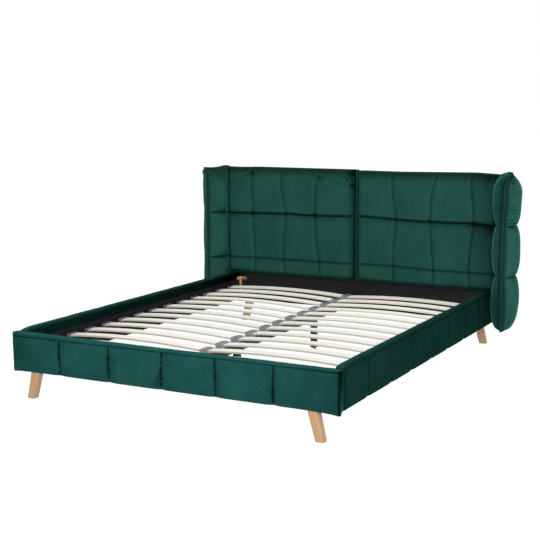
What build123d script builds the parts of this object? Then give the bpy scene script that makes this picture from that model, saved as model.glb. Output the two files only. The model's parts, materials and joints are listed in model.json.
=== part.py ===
"""Upholstered platform bed for a 160 by 200 cm mattress.

Millimetres. +X is across the bed, +Y runs from the footboard to the headboard, +Z is up.
The origin is on the floor, under the centre of the bed's outer box.
"""

import math
import os

from build123d import *

# Mattress space
mattress_width = 1600
mattress_side_gap = 10
inner_length = 2071
inner_half = mattress_width / 2 + mattress_side_gap

# Cloth, shared by every cover
cloth = 3
clearance = 0.3
overrun = 20

# Footboard and side rails
leg_height = 137
rail_height = 176
rail_board = 25
rail_pad = 12
rail_crown = 10
rail_panels = 8
foot_pad = 26
foot_crown = 10
foot_panels = 6
end_pad = 14
band_height = 9
seam_crown = 2
crown_inset = 3
inner_flap = 45
rail_bottom = leg_height
rail_top = leg_height + rail_height
board_bottom = rail_bottom + cloth
board_top = rail_top - band_height - cloth
flap_bottom = rail_top - inner_flap
rail_outer = inner_half + cloth + rail_board + rail_pad
foot_depth = foot_pad + rail_board + cloth
foot_half = rail_outer + seam_crown

# Lower panel, boards and back of the headboard
panel_depth = 50
panel_top = rail_top - 1
back_pad = 10
head_board = panel_depth - back_pad
head_top = 984
flange_setback = 9
skirt = 10
half_gap = 4
plate_thickness = 3
plate_width = 60
plate_height = 180
plate_hole_inset = 30
plate_places_shares = (0.2, 0.8)

# Bolts
bolt_radius = 4
bolt_head_radius = 6.5
bolt_head_height = 4.5
bolt_length = 22
bolt_fit = 0.2
connector_radius = 5
connector_length = 46
connector_in_wing = 14

# The bed's outer box, front to back
total_length = foot_crown + foot_depth + inner_length + panel_depth + plate_thickness + bolt_head_height
foot_front = foot_crown - total_length / 2
foot_inner = foot_front + foot_depth
panel_front = foot_inner + inner_length
panel_back = panel_front + panel_depth

# Headboard cushions: columns are seam distances from the middle, rows are seam heights
cushion_depth = 57
seam_depth = 40
edge_depth = 8
column_seams = (247, 482, 714)
row_seams = (415, 700)
row_middle_share = 0.5
top_middle_share = 0.45
top_upper_share = 0.82
puff_share = 0.5

# Wings
wing_splay = 6
wing_flange_x = 943
wing_flange_setback = 168
wing_bottom = 114
wing_top = 1000
wing_board = 20
wing_board_front = 62
wing_board_margin = 42
wing_crown = 77
wing_seam = 54
wing_edge = 4
wing_lip = 3
wing_back_share = 0.42
wing_widest_share = 0.46
wing_gap = 5
wing_end_shares = ((0, 0.09), (0.1, 0.6), (0.32, 0.94), (0.7, 1))
connector_heights = (400, 640, 880)

# Slats
slat_rows = 13
slat_width = 60
slat_thickness = 8
slat_rise = 16
slat_first = 176
slat_last = 155
slat_end_height = 234
slat_inner_end = 8
slat_outer_gap = 18
cap_length = 22
cap_wall = 1.8
cap_rim = 3
cap_outer_gap = 12
pocket_rise = 2.6
holder_half = 21
holder_base = 9
holder_dome = 3
peg_radius = 4
peg_length = 10

# Ledgers
ledger_width = 26
ledger_height = 30
ledger_end_gap = 64

# Centre beam, its brackets and legs
beam_width = 40
beam_height = 45
beam_wall = 2
beam_end_gap = 4
bracket_steel = 3
bracket_seat = 40
bracket_ear = 28
centre_leg_side = 30
centre_leg_wall = 2
centre_leg_shares = (0.293, 0.713)
leg_flange = 70
leg_flange_thickness = 3
leg_plug = 14
glide_radius = 15
glide_height = 9
glide_chamfer = 4
glide_gap = 11
stud_radius = 4
stud_fit = 0.1
stud_length = 40

# Wooden legs
leg_top_side = 45
leg_foot_side = 38
leg_corner_share = 0.22
leg_lean = 34
leg_top_x_front = 726
leg_top_x_rear = 753
leg_plate_side = 62
leg_plate_thickness = 2.5
leg_plate_shift = 6

# Corner brackets
corner_steel = 3
corner_head_width = 50
corner_head_height = 22
corner_neck_width = 14
corner_top = 284
corner_height = 106
corner_bolt_inset = 11

# Worked out from the values above
splay = math.radians(wing_splay)
wing_front = panel_front - wing_flange_setback
wing_depth = (panel_back - wing_front) / math.cos(splay)
wing_plane = Plane(
    origin=(wing_flange_x, wing_front, 0),
    x_dir=(-math.sin(splay), math.cos(splay), 0),
    z_dir=(0, 0, 1),
)
wing_widest = wing_depth * wing_widest_share
wing_inner_reach = (
    wing_flange_x - wing_widest * math.sin(splay) - wing_crown * math.cos(splay)
)
cushion_end = wing_inner_reach - wing_gap
cushion_bottom = rail_top + clearance
slat_outer_end = inner_half - slat_outer_gap
slat_middle = (slat_outer_end + slat_inner_end) / 2
ledger_top = slat_end_height - cap_rim
beam_top = slat_end_height - holder_base
beam_bottom = beam_top - beam_height
slat_pitch = (inner_length - slat_first - slat_last) / (slat_rows - 1)
row_places = [foot_inner + slat_first + row * slat_pitch for row in range(slat_rows)]
corner_bottom = corner_top - corner_height

os.makedirs("parts", exist_ok=True)


def save(part, name):
    """Labels a finished piece and writes its file."""
    part.label = name
    export_step(part, f"parts/{name}.step")


def save_pair(part, name):
    """Writes a right-hand piece, and its mirror image as the left-hand one."""
    save(part, f"{name}_right")
    save(mirror(part, about=Plane.YZ), f"{name}_left")


def across_plane(y):
    """Upright plane across the bed at one Y: local x is the bed's X, local y its Z."""
    return Plane(origin=(0, y, 0), x_dir=(1, 0, 0), z_dir=(0, -1, 0))


def wing_face_x(y, offset):
    """X of a line that runs beside the wing's middle plane, offset inwards, at a given Y."""
    along = (y - wing_front + offset * math.sin(splay)) / math.cos(splay)
    return wing_flange_x - along * math.sin(splay) - offset * math.cos(splay)


# Bolt places: a plane whose Z points out of the bolt's head
corner_bolt_z = (corner_top - corner_bolt_inset, corner_bottom + corner_bolt_inset)
corner_bolt_reach = corner_head_width / 2 + corner_steel
bracket_bolt_x = beam_width / 2 + bracket_steel + bracket_ear / 2
bracket_bolt_z = (beam_top + beam_bottom) / 2
foot_bolt_places = [
    (side * x, foot_inner, z)
    for side in (-1, 1)
    for x, z in [(inner_half - corner_bolt_reach, z) for z in corner_bolt_z]
    + [(bracket_bolt_x, bracket_bolt_z)]
]
panel_bolt_places = [(x, panel_front, z) for x, y, z in foot_bolt_places]
rail_bolt_places = [
    (inner_half, y, z)
    for y in (foot_inner + corner_bolt_reach, panel_front - corner_bolt_reach)
    for z in corner_bolt_z
]
plate_x = [
    side * (half_gap + share * (cushion_end - half_gap))
    for side in (-1, 1)
    for share in plate_places_shares
]
plate_bolt_places = [
    (x, panel_back, panel_top + side * (plate_height / 2 - plate_hole_inset))
    for x in plate_x
    for side in (-1, 1)
]
connector_planes = [
    Plane(
        origin=wing_plane.from_local_coords(
            (wing_depth - panel_depth / 2, wing_board / 2 - connector_in_wing, height)
        ),
        z_dir=-wing_plane.y_dir,
    )
    for height in connector_heights
]


def bolt_planes(places, direction, stand_off):
    """Planes on the bolts' head faces: each stands off its place along the direction."""
    out = Vector(*direction)
    return [Plane(origin=Vector(*place) + out * stand_off, z_dir=out) for place in places]


def other_side(planes):
    """The same planes on the bed's left side."""
    return [
        Plane(
            origin=(-plane.origin.X, plane.origin.Y, plane.origin.Z),
            z_dir=(-plane.z_dir.X, plane.z_dir.Y, plane.z_dir.Z),
        )
        for plane in planes
    ]


foot_bolts = bolt_planes(foot_bolt_places, (0, 1, 0), corner_steel)
panel_bolts = bolt_planes(panel_bolt_places, (0, -1, 0), corner_steel)
rail_bolts = bolt_planes(rail_bolt_places, (-1, 0, 0), corner_steel)
plate_bolts = bolt_planes(plate_bolt_places, (0, 1, 0), plate_thickness)


def drill(planes, radius, depth):
    """Cuts a round hole into the part from each plane, against its Z."""
    with Locations(*[Location(plane) for plane in planes]):
        Cylinder(
            radius=radius,
            height=depth,
            align=(Align.CENTER, Align.CENTER, Align.MAX),
            mode=Mode.SUBTRACT,
        )


bolt_hole = bolt_radius + bolt_fit
bolt_hole_depth = bolt_length + clearance


# Footboard
def foot_section(x, crown):
    """Outer form of the footboard's cover at one X: flat back, puffed front, crowned top."""
    with BuildSketch(Plane.YZ.offset(x)) as section:
        with BuildLine():
            low = (foot_front + crown_inset, rail_bottom)
            high = (foot_front + crown_inset, rail_top - band_height)
            back_high = (foot_inner, rail_top - band_height)
            back_low = (foot_inner, rail_bottom)
            middle = (foot_front - crown, (low[1] + high[1]) / 2)
            ridge = (foot_front + foot_depth / 2, rail_top)
            ThreePointArc(low, middle, high)
            ThreePointArc(high, ridge, back_high)
            Line(back_high, back_low)
            Line(back_low, low)
        make_face()
    return section.sketch


foot_panel = 2 * foot_half / foot_panels
with BuildPart() as footboard_cover:
    for panel in range(foot_panels):
        start = -foot_half + panel * foot_panel
        loft([
            foot_section(start, seam_crown),
            foot_section(start + foot_panel * puff_share, foot_crown),
            foot_section(start + foot_panel, seam_crown),
        ])
    with BuildSketch(Plane.XY.offset(board_bottom)):
        with Locations((0, foot_front + foot_pad + rail_board / 2)):
            Rectangle(2 * (foot_half - end_pad), rail_board)
    extrude(amount=board_top - board_bottom, mode=Mode.SUBTRACT)
    with BuildSketch(Plane.XY.offset(board_bottom)):
        with Locations((0, foot_inner - cloth / 2)):
            Rectangle(2 * (foot_half - end_pad), cloth)
    extrude(amount=flap_bottom - board_bottom, mode=Mode.SUBTRACT)
    drill(foot_bolts, bolt_hole, bolt_hole_depth)
save(footboard_cover.part, "footboard_cover")

with BuildPart() as footboard_board:
    with BuildSketch(Plane.XY.offset(board_bottom)):
        with Locations((0, foot_front + foot_pad + rail_board / 2)):
            Rectangle(2 * (foot_half - end_pad), rail_board)
    extrude(amount=board_top - board_bottom)
    drill(foot_bolts, bolt_hole, bolt_hole_depth)
save(footboard_board.part, "footboard_board")


# Side rails
def rail_section(y, crown):
    """Outer form of the right rail's cover at one Y: flat inside, puffed outside, crowned top."""
    with BuildSketch(across_plane(y)) as section:
        with BuildLine():
            low = (rail_outer - crown_inset, rail_bottom)
            high = (rail_outer - crown_inset, rail_top - band_height)
            back_high = (inner_half, rail_top - band_height)
            back_low = (inner_half, rail_bottom)
            middle = (rail_outer + crown, (low[1] + high[1]) / 2)
            ridge = ((inner_half + rail_outer) / 2, rail_top)
            ThreePointArc(low, middle, high)
            ThreePointArc(high, ridge, back_high)
            Line(back_high, back_low)
            Line(back_low, low)
        make_face()
    return section.sketch


rail_panel = inner_length / rail_panels
rail_board_x = inner_half + cloth + rail_board / 2
rail_middle = (foot_inner + panel_front) / 2
with BuildPart() as side_rail_cover:
    for panel in range(rail_panels):
        start = foot_inner + panel * rail_panel
        loft([
            rail_section(start, seam_crown),
            rail_section(start + rail_panel * puff_share, rail_crown),
            rail_section(start + rail_panel, seam_crown),
        ])
    with BuildSketch(Plane.XY.offset(board_bottom)):
        with Locations((rail_board_x, rail_middle)):
            Rectangle(rail_board, inner_length)
    extrude(amount=board_top - board_bottom, mode=Mode.SUBTRACT)
    with BuildSketch(Plane.XY.offset(board_bottom)):
        with Locations((inner_half + cloth / 2, rail_middle)):
            Rectangle(cloth, inner_length)
    extrude(amount=flap_bottom - board_bottom, mode=Mode.SUBTRACT)
    drill(rail_bolts, bolt_hole, bolt_hole_depth)
save_pair(side_rail_cover.part, "side_rail_cover")

with BuildPart() as side_rail_board:
    with BuildSketch(Plane.XY.offset(board_bottom)):
        with Locations((rail_board_x, rail_middle)):
            Rectangle(rail_board, inner_length)
    extrude(amount=board_top - board_bottom)
    drill(rail_bolts, bolt_hole, bolt_hole_depth)
save_pair(side_rail_board.part, "side_rail_board")

# Black lining on the inner faces, one strip per rail and one on the footboard
with BuildPart() as frame_linings:
    with BuildSketch(Plane.XY.offset(board_bottom)):
        with Locations((inner_half + cloth / 2, rail_middle), (-inner_half - cloth / 2, rail_middle)):
            Rectangle(cloth, inner_length)
        with Locations((0, foot_inner - cloth / 2)):
            Rectangle(2 * (foot_half - end_pad), cloth)
    extrude(amount=flap_bottom - board_bottom)
    drill(foot_bolts, bolt_hole, bolt_hole_depth)
    drill(rail_bolts, bolt_hole, bolt_hole_depth)
    drill(other_side(rail_bolts), bolt_hole, bolt_hole_depth)
save(frame_linings.part, "frame_linings")

# Ledgers, with a hole for each end cap's peg
cap_outer = inner_half - cap_outer_gap
cap_middle = cap_outer - cap_length / 2
with BuildPart() as ledger:
    with BuildSketch(Plane.XY.offset(ledger_top - ledger_height)):
        with Locations((inner_half - ledger_width / 2, rail_middle)):
            Rectangle(ledger_width, inner_length - 2 * ledger_end_gap)
    extrude(amount=ledger_height)
    with Locations(*[(inner_half - ledger_width / 2, y, ledger_top) for y in row_places]):
        Cylinder(
            radius=peg_radius + bolt_fit,
            height=peg_length + clearance,
            align=(Align.CENTER, Align.CENTER, Align.MAX),
            mode=Mode.SUBTRACT,
        )
save_pair(ledger.part, "ledger")

# Slats: bowed strips, one left and one right in each row
for row, y in enumerate(row_places, start=1):
    with BuildPart() as slat:
        with BuildSketch(across_plane(y)):
            with BuildLine():
                inner_low = (slat_inner_end, slat_end_height)
                outer_low = (slat_outer_end, slat_end_height)
                inner_high = (slat_inner_end, slat_end_height + slat_thickness)
                outer_high = (slat_outer_end, slat_end_height + slat_thickness)
                ThreePointArc(inner_low, (slat_middle, slat_end_height + slat_rise), outer_low)
                ThreePointArc(
                    inner_high,
                    (slat_middle, slat_end_height + slat_rise + slat_thickness),
                    outer_high,
                )
                Line(inner_low, inner_high)
                Line(outer_low, outer_high)
            make_face()
        extrude(amount=slat_width / 2, both=True)
    save(slat.part, f"slat_right_{row:02d}")
    save(mirror(slat.part, about=Plane.YZ), f"slat_left_{row:02d}")

# End caps on the outer slat ends: a pocket for the slat, a peg into the ledger
pocket_low = slat_end_height - clearance
pocket_height = clearance + slat_thickness + pocket_rise
cap_bottom = ledger_top
cap_height = pocket_low + pocket_height + cap_wall - cap_bottom
cap_width = slat_width + 2 * (clearance + cap_wall)
cap_pocket_outer = slat_outer_end + clearance
cap_pocket_length = cap_pocket_outer - cap_outer + cap_length + overrun
cap_pocket_middle = cap_pocket_outer - cap_pocket_length / 2
with BuildPart() as slat_end_caps:
    with BuildSketch(Plane.XY.offset(cap_bottom)):
        with Locations(*[(side * cap_middle, y) for y in row_places for side in (-1, 1)]):
            Rectangle(cap_length, cap_width)
    extrude(amount=cap_height)
    with BuildSketch(Plane.XY.offset(pocket_low)):
        with Locations(*[(side * cap_pocket_middle, y) for y in row_places for side in (-1, 1)]):
            Rectangle(cap_pocket_length, slat_width + 2 * clearance)
    extrude(amount=pocket_height, mode=Mode.SUBTRACT)
    with Locations(*[
        (side * (inner_half - ledger_width / 2), y, ledger_top)
        for y in row_places
        for side in (-1, 1)
    ]):
        Cylinder(
            radius=peg_radius,
            height=peg_length,
            align=(Align.CENTER, Align.CENTER, Align.MAX),
        )
save(slat_end_caps.part, "slat_end_caps")

# Double holders at the middle of each row: domed blocks with a pocket on each side
with BuildPart() as slat_centre_holders:
    for y in row_places:
        with BuildSketch(across_plane(y)):
            with BuildLine():
                low_left = (-holder_half, beam_top)
                low_right = (holder_half, beam_top)
                shoulder = pocket_low + pocket_height + cap_wall
                high_left = (-holder_half, shoulder)
                high_right = (holder_half, shoulder)
                Line(low_left, low_right)
                Line(low_right, high_right)
                ThreePointArc(high_right, (0, shoulder + holder_dome), high_left)
                Line(high_left, low_left)
            make_face()
        extrude(amount=cap_width / 2, both=True)
    with BuildSketch(Plane.XY.offset(pocket_low)):
        pocket_inner = slat_inner_end - clearance
        with Locations(*[
            (side * (pocket_inner + holder_half + overrun) / 2, y)
            for y in row_places
            for side in (-1, 1)
        ]):
            Rectangle(holder_half + overrun - pocket_inner, slat_width + 2 * clearance)
    extrude(amount=pocket_height, mode=Mode.SUBTRACT)
save(slat_centre_holders.part, "slat_centre_holders")

# Centre beam: a rectangular steel tube from bracket to bracket
beam_length = inner_length - 2 * (bracket_steel + beam_end_gap)
with BuildPart() as centre_beam:
    with BuildSketch(across_plane(foot_inner + bracket_steel + beam_end_gap)):
        with Locations((0, beam_bottom + beam_height / 2)):
            Rectangle(beam_width, beam_height)
            Rectangle(beam_width - 2 * beam_wall, beam_height - 2 * beam_wall, mode=Mode.SUBTRACT)
    extrude(amount=-beam_length)
save(centre_beam.part, "centre_beam")

# Beam brackets: a back plate with ears and a seat that the beam drops into
with BuildPart() as beam_bracket:
    plate_half = beam_width / 2 + bracket_steel + bracket_ear
    with BuildSketch(across_plane(foot_inner)):
        with Locations((0, beam_bottom - bracket_steel + (beam_height + bracket_steel) / 2)):
            Rectangle(2 * plate_half, beam_height + bracket_steel)
    extrude(amount=-bracket_steel)
    with BuildSketch(across_plane(foot_inner)):
        with Locations((0, beam_bottom - bracket_steel + (beam_height + bracket_steel) / 2)):
            Rectangle(beam_width + 2 * (bracket_steel + clearance), beam_height + bracket_steel)
        with Locations((0, beam_bottom + beam_height / 2 + overrun / 2)):
            Rectangle(beam_width + 2 * clearance, beam_height + overrun, mode=Mode.SUBTRACT)
    extrude(amount=-(bracket_steel + bracket_seat))
    with BuildSketch(across_plane(foot_inner)):
        with Locations((0, beam_bottom + beam_height / 2)):
            Rectangle(beam_width, beam_height)
    extrude(amount=-bracket_steel)
    drill(foot_bolts, bolt_hole, bolt_hole_depth)
    middle_plane = Plane.XZ.offset(-(foot_inner + panel_front) / 2)
    mirror(about=middle_plane)
save(beam_bracket.part, "centre_beam_brackets")

# Centre legs: square tubes with a top flange and a threaded plug for the foot's stud
centre_leg_y = [foot_inner + share * inner_length for share in centre_leg_shares]
tube_top = beam_bottom - leg_flange_thickness
tube_bottom = glide_gap + glide_height
with BuildPart() as centre_legs:
    with BuildSketch(Plane.XY.offset(tube_top)):
        with Locations(*[(0, y) for y in centre_leg_y]):
            Rectangle(beam_width, leg_flange)
    extrude(amount=leg_flange_thickness)
    with BuildSketch(Plane.XY.offset(tube_bottom)):
        with Locations(*[(0, y) for y in centre_leg_y]):
            Rectangle(centre_leg_side, centre_leg_side)
            inside = centre_leg_side - 2 * centre_leg_wall
            Rectangle(inside, inside, mode=Mode.SUBTRACT)
    extrude(amount=tube_top - tube_bottom)
    with BuildSketch(Plane.XY.offset(tube_bottom)):
        with Locations(*[(0, y) for y in centre_leg_y]):
            Rectangle(centre_leg_side, centre_leg_side)
            Circle(stud_radius + stud_fit, mode=Mode.SUBTRACT)
    extrude(amount=leg_plug)
save(centre_legs.part, "centre_legs")

# Levelling feet: a round pad with a chamfered rim, on a stud that screws into the leg
for name, y in zip(("front", "rear"), centre_leg_y):
    with BuildPart() as glide:
        with BuildSketch(Plane.XY):
            with Locations((0, y)):
                Circle(glide_radius)
        extrude(amount=glide_height)
        chamfer(glide.edges().group_by(Axis.Z)[0], glide_chamfer)
        with BuildSketch(Plane.XY.offset(glide_height)):
            with Locations((0, y)):
                Circle(stud_radius)
        extrude(amount=stud_length)
    save(glide.part, f"levelling_foot_{name}")

# Wooden legs: square, tapered and splayed, with rounded corners
foot_middle = foot_front + foot_depth / 2
panel_middle = panel_front + panel_depth / 2
leg_places = (
    ("front_left", -1, leg_top_x_front, foot_middle),
    ("front_right", 1, leg_top_x_front, foot_middle),
    ("rear_left", -1, leg_top_x_rear, panel_middle),
    ("rear_right", 1, leg_top_x_rear, panel_middle),
)
leg_top = rail_bottom - leg_plate_thickness
leg_rake = math.hypot(leg_lean, leg_top)
leg_taper = math.degrees(math.atan((leg_top_side - leg_foot_side) / 2 / leg_rake))
for name, side, x, y in leg_places:
    with BuildPart() as leg:
        rake = Vector(side * leg_lean, 0, -leg_top)
        with BuildSketch(Plane(origin=Vector(side * x, y, leg_top) - rake, x_dir=(0, 1, 0), z_dir=rake)):
            side_above = 2 * leg_top_side - leg_foot_side
            RectangleRounded(side_above, side_above, side_above * leg_corner_share)
        extrude(amount=3 * leg_rake, taper=leg_taper)
        split(bisect_by=Plane.XY.offset(leg_top), keep=Keep.BOTTOM)
        split(bisect_by=Plane.XY, keep=Keep.TOP)
    save(leg.part, f"leg_{name}")

# Steel plates between the legs and the frame
with BuildPart() as leg_plates:
    with BuildSketch(Plane.XY.offset(leg_top)):
        for name, side, x, y in leg_places:
            with Locations((side * (x + leg_plate_shift), y)):
                Rectangle(leg_plate_side, foot_depth - 2 * cloth)
    extrude(amount=leg_plate_thickness)
save(leg_plates.part, "leg_plates")


# Headboard lower panel: reaches the wings' boards on both sides
def head_outline(front, back, inner_x, offset):
    """Closed outline of a right-hand headboard piece that ends on the wing's face."""
    Polyline(
        (inner_x, front),
        (wing_face_x(front, offset), front),
        (wing_face_x(back, offset), back),
        (inner_x, back),
        close=True,
    )


wing_face = wing_board / 2
with BuildPart() as headboard_lower_panel:
    with BuildSketch(Plane.XY.offset(rail_bottom)):
        with BuildLine():
            head_outline(panel_front, panel_back, 0, wing_face)
        make_face()
        mirror(about=Plane.YZ)
    extrude(amount=panel_top - rail_bottom)
    drill(panel_bolts, bolt_hole, bolt_hole_depth)
    drill(plate_bolts, bolt_hole, bolt_hole_depth)
save(headboard_lower_panel.part, "headboard_lower_panel")

# Headboard boards, one in each half
board_back = panel_front + head_board
board_high = head_top - skirt
with BuildPart() as headboard_board:
    with BuildSketch(Plane.XY.offset(panel_top)):
        with BuildLine():
            head_outline(panel_front, board_back, half_gap + skirt, wing_face)
        make_face()
    extrude(amount=board_high - panel_top)
    drill(plate_bolts, bolt_hole, bolt_hole_depth)
    drill(connector_planes, connector_radius + bolt_fit, connector_length + clearance)
save_pair(headboard_board.part, "headboard_board")

# Back covers: a padded back with a skirt round the board
flange_y = panel_front + flange_setback
with BuildPart() as headboard_back_cover:
    with BuildSketch(Plane.XY.offset(panel_top)):
        with BuildLine():
            head_outline(flange_y, panel_back, half_gap, wing_face)
        make_face()
    extrude(amount=head_top - panel_top)
    with BuildSketch(Plane.XY.offset(panel_top)):
        with BuildLine():
            head_outline(flange_y, board_back, half_gap + skirt, wing_face)
        make_face()
    extrude(amount=board_high - panel_top, mode=Mode.SUBTRACT)
    drill(plate_bolts, bolt_hole, bolt_hole_depth)
    mirror(about=Plane.YZ)
save(headboard_back_cover.part, "headboard_back_covers")


# Headboard cushions: four columns and three rows of puffed cells in each half
def cushion_section(z, seam, crown, edge):
    """Section of the right cushion at height z. seam, crown and edge stand in front of the panel."""
    seams_x = (half_gap,) + column_seams + (cushion_end,)
    depths = (edge,) + (seam,) * len(column_seams) + (edge,)
    with BuildSketch(Plane.XY.offset(z)) as section:
        with BuildLine():
            for column in range(len(seams_x) - 1):
                start = (seams_x[column], panel_front - depths[column])
                end = (seams_x[column + 1], panel_front - depths[column + 1])
                middle = (
                    start[0] + (end[0] - start[0]) * puff_share,
                    panel_front - crown,
                )
                ThreePointArc(start, middle, end)
            Polyline(
                (cushion_end, panel_front - edge),
                (cushion_end, flange_y),
                (half_gap, flange_y),
                (half_gap, panel_front - edge),
            )
        make_face()
    return section.sketch


# Each row lists its sections as height, seam depth, crown depth and edge depth
valley = (seam_depth - crown_inset, seam_depth + crown_inset, edge_depth)
full = (cushion_depth - 2 * rail_crown, cushion_depth, 2 * edge_depth)
shallow = (edge_depth, edge_depth + crown_inset, edge_depth / 2)
upper = (cushion_depth - 2 * rail_crown, cushion_depth - crown_inset, 2 * edge_depth)
low_seam, high_seam = row_seams
cushion_rows = (
    (
        (cushion_bottom, *shallow),
        (cushion_bottom + (low_seam - cushion_bottom) * row_middle_share, *full),
        (low_seam, *valley),
    ),
    (
        (low_seam, *valley),
        (low_seam + (high_seam - low_seam) * row_middle_share, *full),
        (high_seam, *valley),
    ),
    (
        (high_seam, *valley),
        (high_seam + (head_top - high_seam) * top_middle_share, *full),
        (high_seam + (head_top - high_seam) * top_upper_share, *upper),
        (head_top, *shallow),
    ),
)
with BuildPart() as headboard_cushion:
    for row_sections in cushion_rows:
        loft([cushion_section(*values) for values in row_sections])
    with BuildSketch(Plane.XY.offset(panel_top)):
        with BuildLine():
            head_outline(panel_front, board_back, half_gap + skirt, wing_face)
        make_face()
    extrude(amount=board_high - panel_top, mode=Mode.SUBTRACT)
save_pair(headboard_cushion.part, "headboard_cushion")

# Wing boards
wing_board_low = wing_bottom + wing_board_margin
wing_board_high = wing_top - wing_board_margin
with BuildPart() as wing_board_part:
    with BuildSketch(wing_plane.offset(wing_board_low)):
        with Locations(((wing_board_front + wing_depth) / 2, 0)):
            Rectangle(wing_depth - wing_board_front, wing_board)
    extrude(amount=wing_board_high - wing_board_low)
    drill(connector_planes, connector_radius + bolt_fit, connector_length + clearance)
save_pair(wing_board_part.part, "wing_board")


# Wing cushions: three puffs, sewn to a flange along the front edge
def wing_section(z, half):
    """Section of the right wing's cushion at height z, half as thick as given on each side."""
    back = max(half * wing_back_share, wing_edge)
    with BuildSketch(wing_plane.offset(z)) as section:
        with BuildLine():
            Line((0, -wing_lip), (0, wing_lip))
            ThreePointArc((0, wing_lip), (wing_widest, half), (wing_depth, back))
            Line((wing_depth, back), (wing_depth, -back))
            ThreePointArc((wing_depth, -back), (wing_widest, -half), (0, -wing_lip))
        make_face()
    return section.sketch


# Each puff lists its sections as height and half thickness, from its lower end to its upper one
low_height = low_seam - wing_bottom
high_height = wing_top - high_seam
low_puff = [(wing_bottom + low_height * rise, wing_crown * full) for rise, full in wing_end_shares]
high_puff = [(wing_top - high_height * rise, wing_crown * full) for rise, full in wing_end_shares]
high_puff.reverse()
wing_puffs = (
    low_puff + [(low_seam, wing_seam)],
    [
        (low_seam, wing_seam),
        (low_seam + (high_seam - low_seam) * row_middle_share, wing_crown),
        (high_seam, wing_seam),
    ],
    [(high_seam, wing_seam)] + high_puff,
)
with BuildPart() as wing_cushion:
    for puff in wing_puffs:
        loft([wing_section(z, half) for z, half in puff])
    with BuildSketch(wing_plane.offset(wing_board_low)):
        with Locations(((wing_board_front + wing_depth + overrun) / 2, 0)):
            Rectangle(wing_depth + overrun - wing_board_front, wing_board)
    extrude(amount=wing_board_high - wing_board_low, mode=Mode.SUBTRACT)
    with BuildSketch(Plane.XY.offset(wing_bottom - overrun)):
        with BuildLine():
            head_outline(panel_front - clearance, panel_back + overrun, rail_outer, wing_face)
        make_face()
    extrude(amount=wing_top - wing_bottom + 2 * overrun, mode=Mode.SUBTRACT)
    with BuildSketch(Plane.XY.offset(wing_bottom - overrun)):
        with Locations((rail_outer + rail_crown + clearance, wing_front)):
            Rectangle(
                wing_crown,
                2 * wing_depth,
                align=(Align.MAX, Align.CENTER),
            )
    extrude(amount=rail_top + clearance - wing_bottom + overrun, mode=Mode.SUBTRACT)
save_pair(wing_cushion.part, "wing_cushion")

# Plates that join the headboard halves to the lower panel
with BuildPart() as joining_plates:
    with BuildSketch(across_plane(panel_back)):
        with Locations(*[(x, panel_top) for x in plate_x]):
            RectangleRounded(plate_width, plate_height, plate_hole_inset / 3)
    extrude(amount=-plate_thickness)
    drill(plate_bolts, bolt_hole, bolt_hole_depth)
save(joining_plates.part, "joining_plates")


# Corner brackets: two pressed leaves of the same I-shaped outline
def corner_leaf():
    """Outline of one leaf: wide head and foot joined by a narrow neck beside the fold."""
    Polyline(
        (0, corner_bottom),
        (corner_head_width, corner_bottom),
        (corner_head_width, corner_bottom + corner_head_height),
        (corner_neck_width, corner_bottom + corner_head_height),
        (corner_neck_width, corner_top - corner_head_height),
        (corner_head_width, corner_top - corner_head_height),
        (corner_head_width, corner_top),
        (0, corner_top),
        close=True,
    )


with BuildPart() as corner_brackets:
    leaf_planes = (
        Plane(origin=(inner_half, panel_front, 0), x_dir=(-1, 0, 0), z_dir=(0, 1, 0)),
        Plane(origin=(inner_half, panel_front, 0), x_dir=(0, -1, 0), z_dir=(-1, 0, 0)),
    )
    for leaf_plane, thickness in zip(leaf_planes, (-corner_steel, corner_steel)):
        with BuildSketch(leaf_plane):
            with BuildLine():
                corner_leaf()
            make_face()
        extrude(amount=thickness)
    drill(panel_bolts, bolt_hole, bolt_hole_depth)
    drill(rail_bolts, bolt_hole, bolt_hole_depth)
    mirror(about=middle_plane)
    mirror(about=Plane.YZ)
save(corner_brackets.part, "corner_brackets")

# Bolts: button heads on round shanks, and headless connectors between wings and headboard
with BuildPart() as frame_bolts:
    head_planes = foot_bolts + panel_bolts + rail_bolts + other_side(rail_bolts) + plate_bolts
    with Locations(*[Location(plane) for plane in head_planes]):
        Cylinder(
            radius=bolt_head_radius,
            height=bolt_head_height,
            align=(Align.CENTER, Align.CENTER, Align.MIN),
        )
        Cylinder(
            radius=bolt_radius,
            height=bolt_length,
            align=(Align.CENTER, Align.CENTER, Align.MAX),
        )
    all_connectors = connector_planes + other_side(connector_planes)
    with Locations(*[Location(plane) for plane in all_connectors]):
        Cylinder(
            radius=connector_radius,
            height=connector_length,
            align=(Align.CENTER, Align.CENTER, Align.MAX),
        )
save(frame_bolts.part, "frame_bolts")
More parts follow.
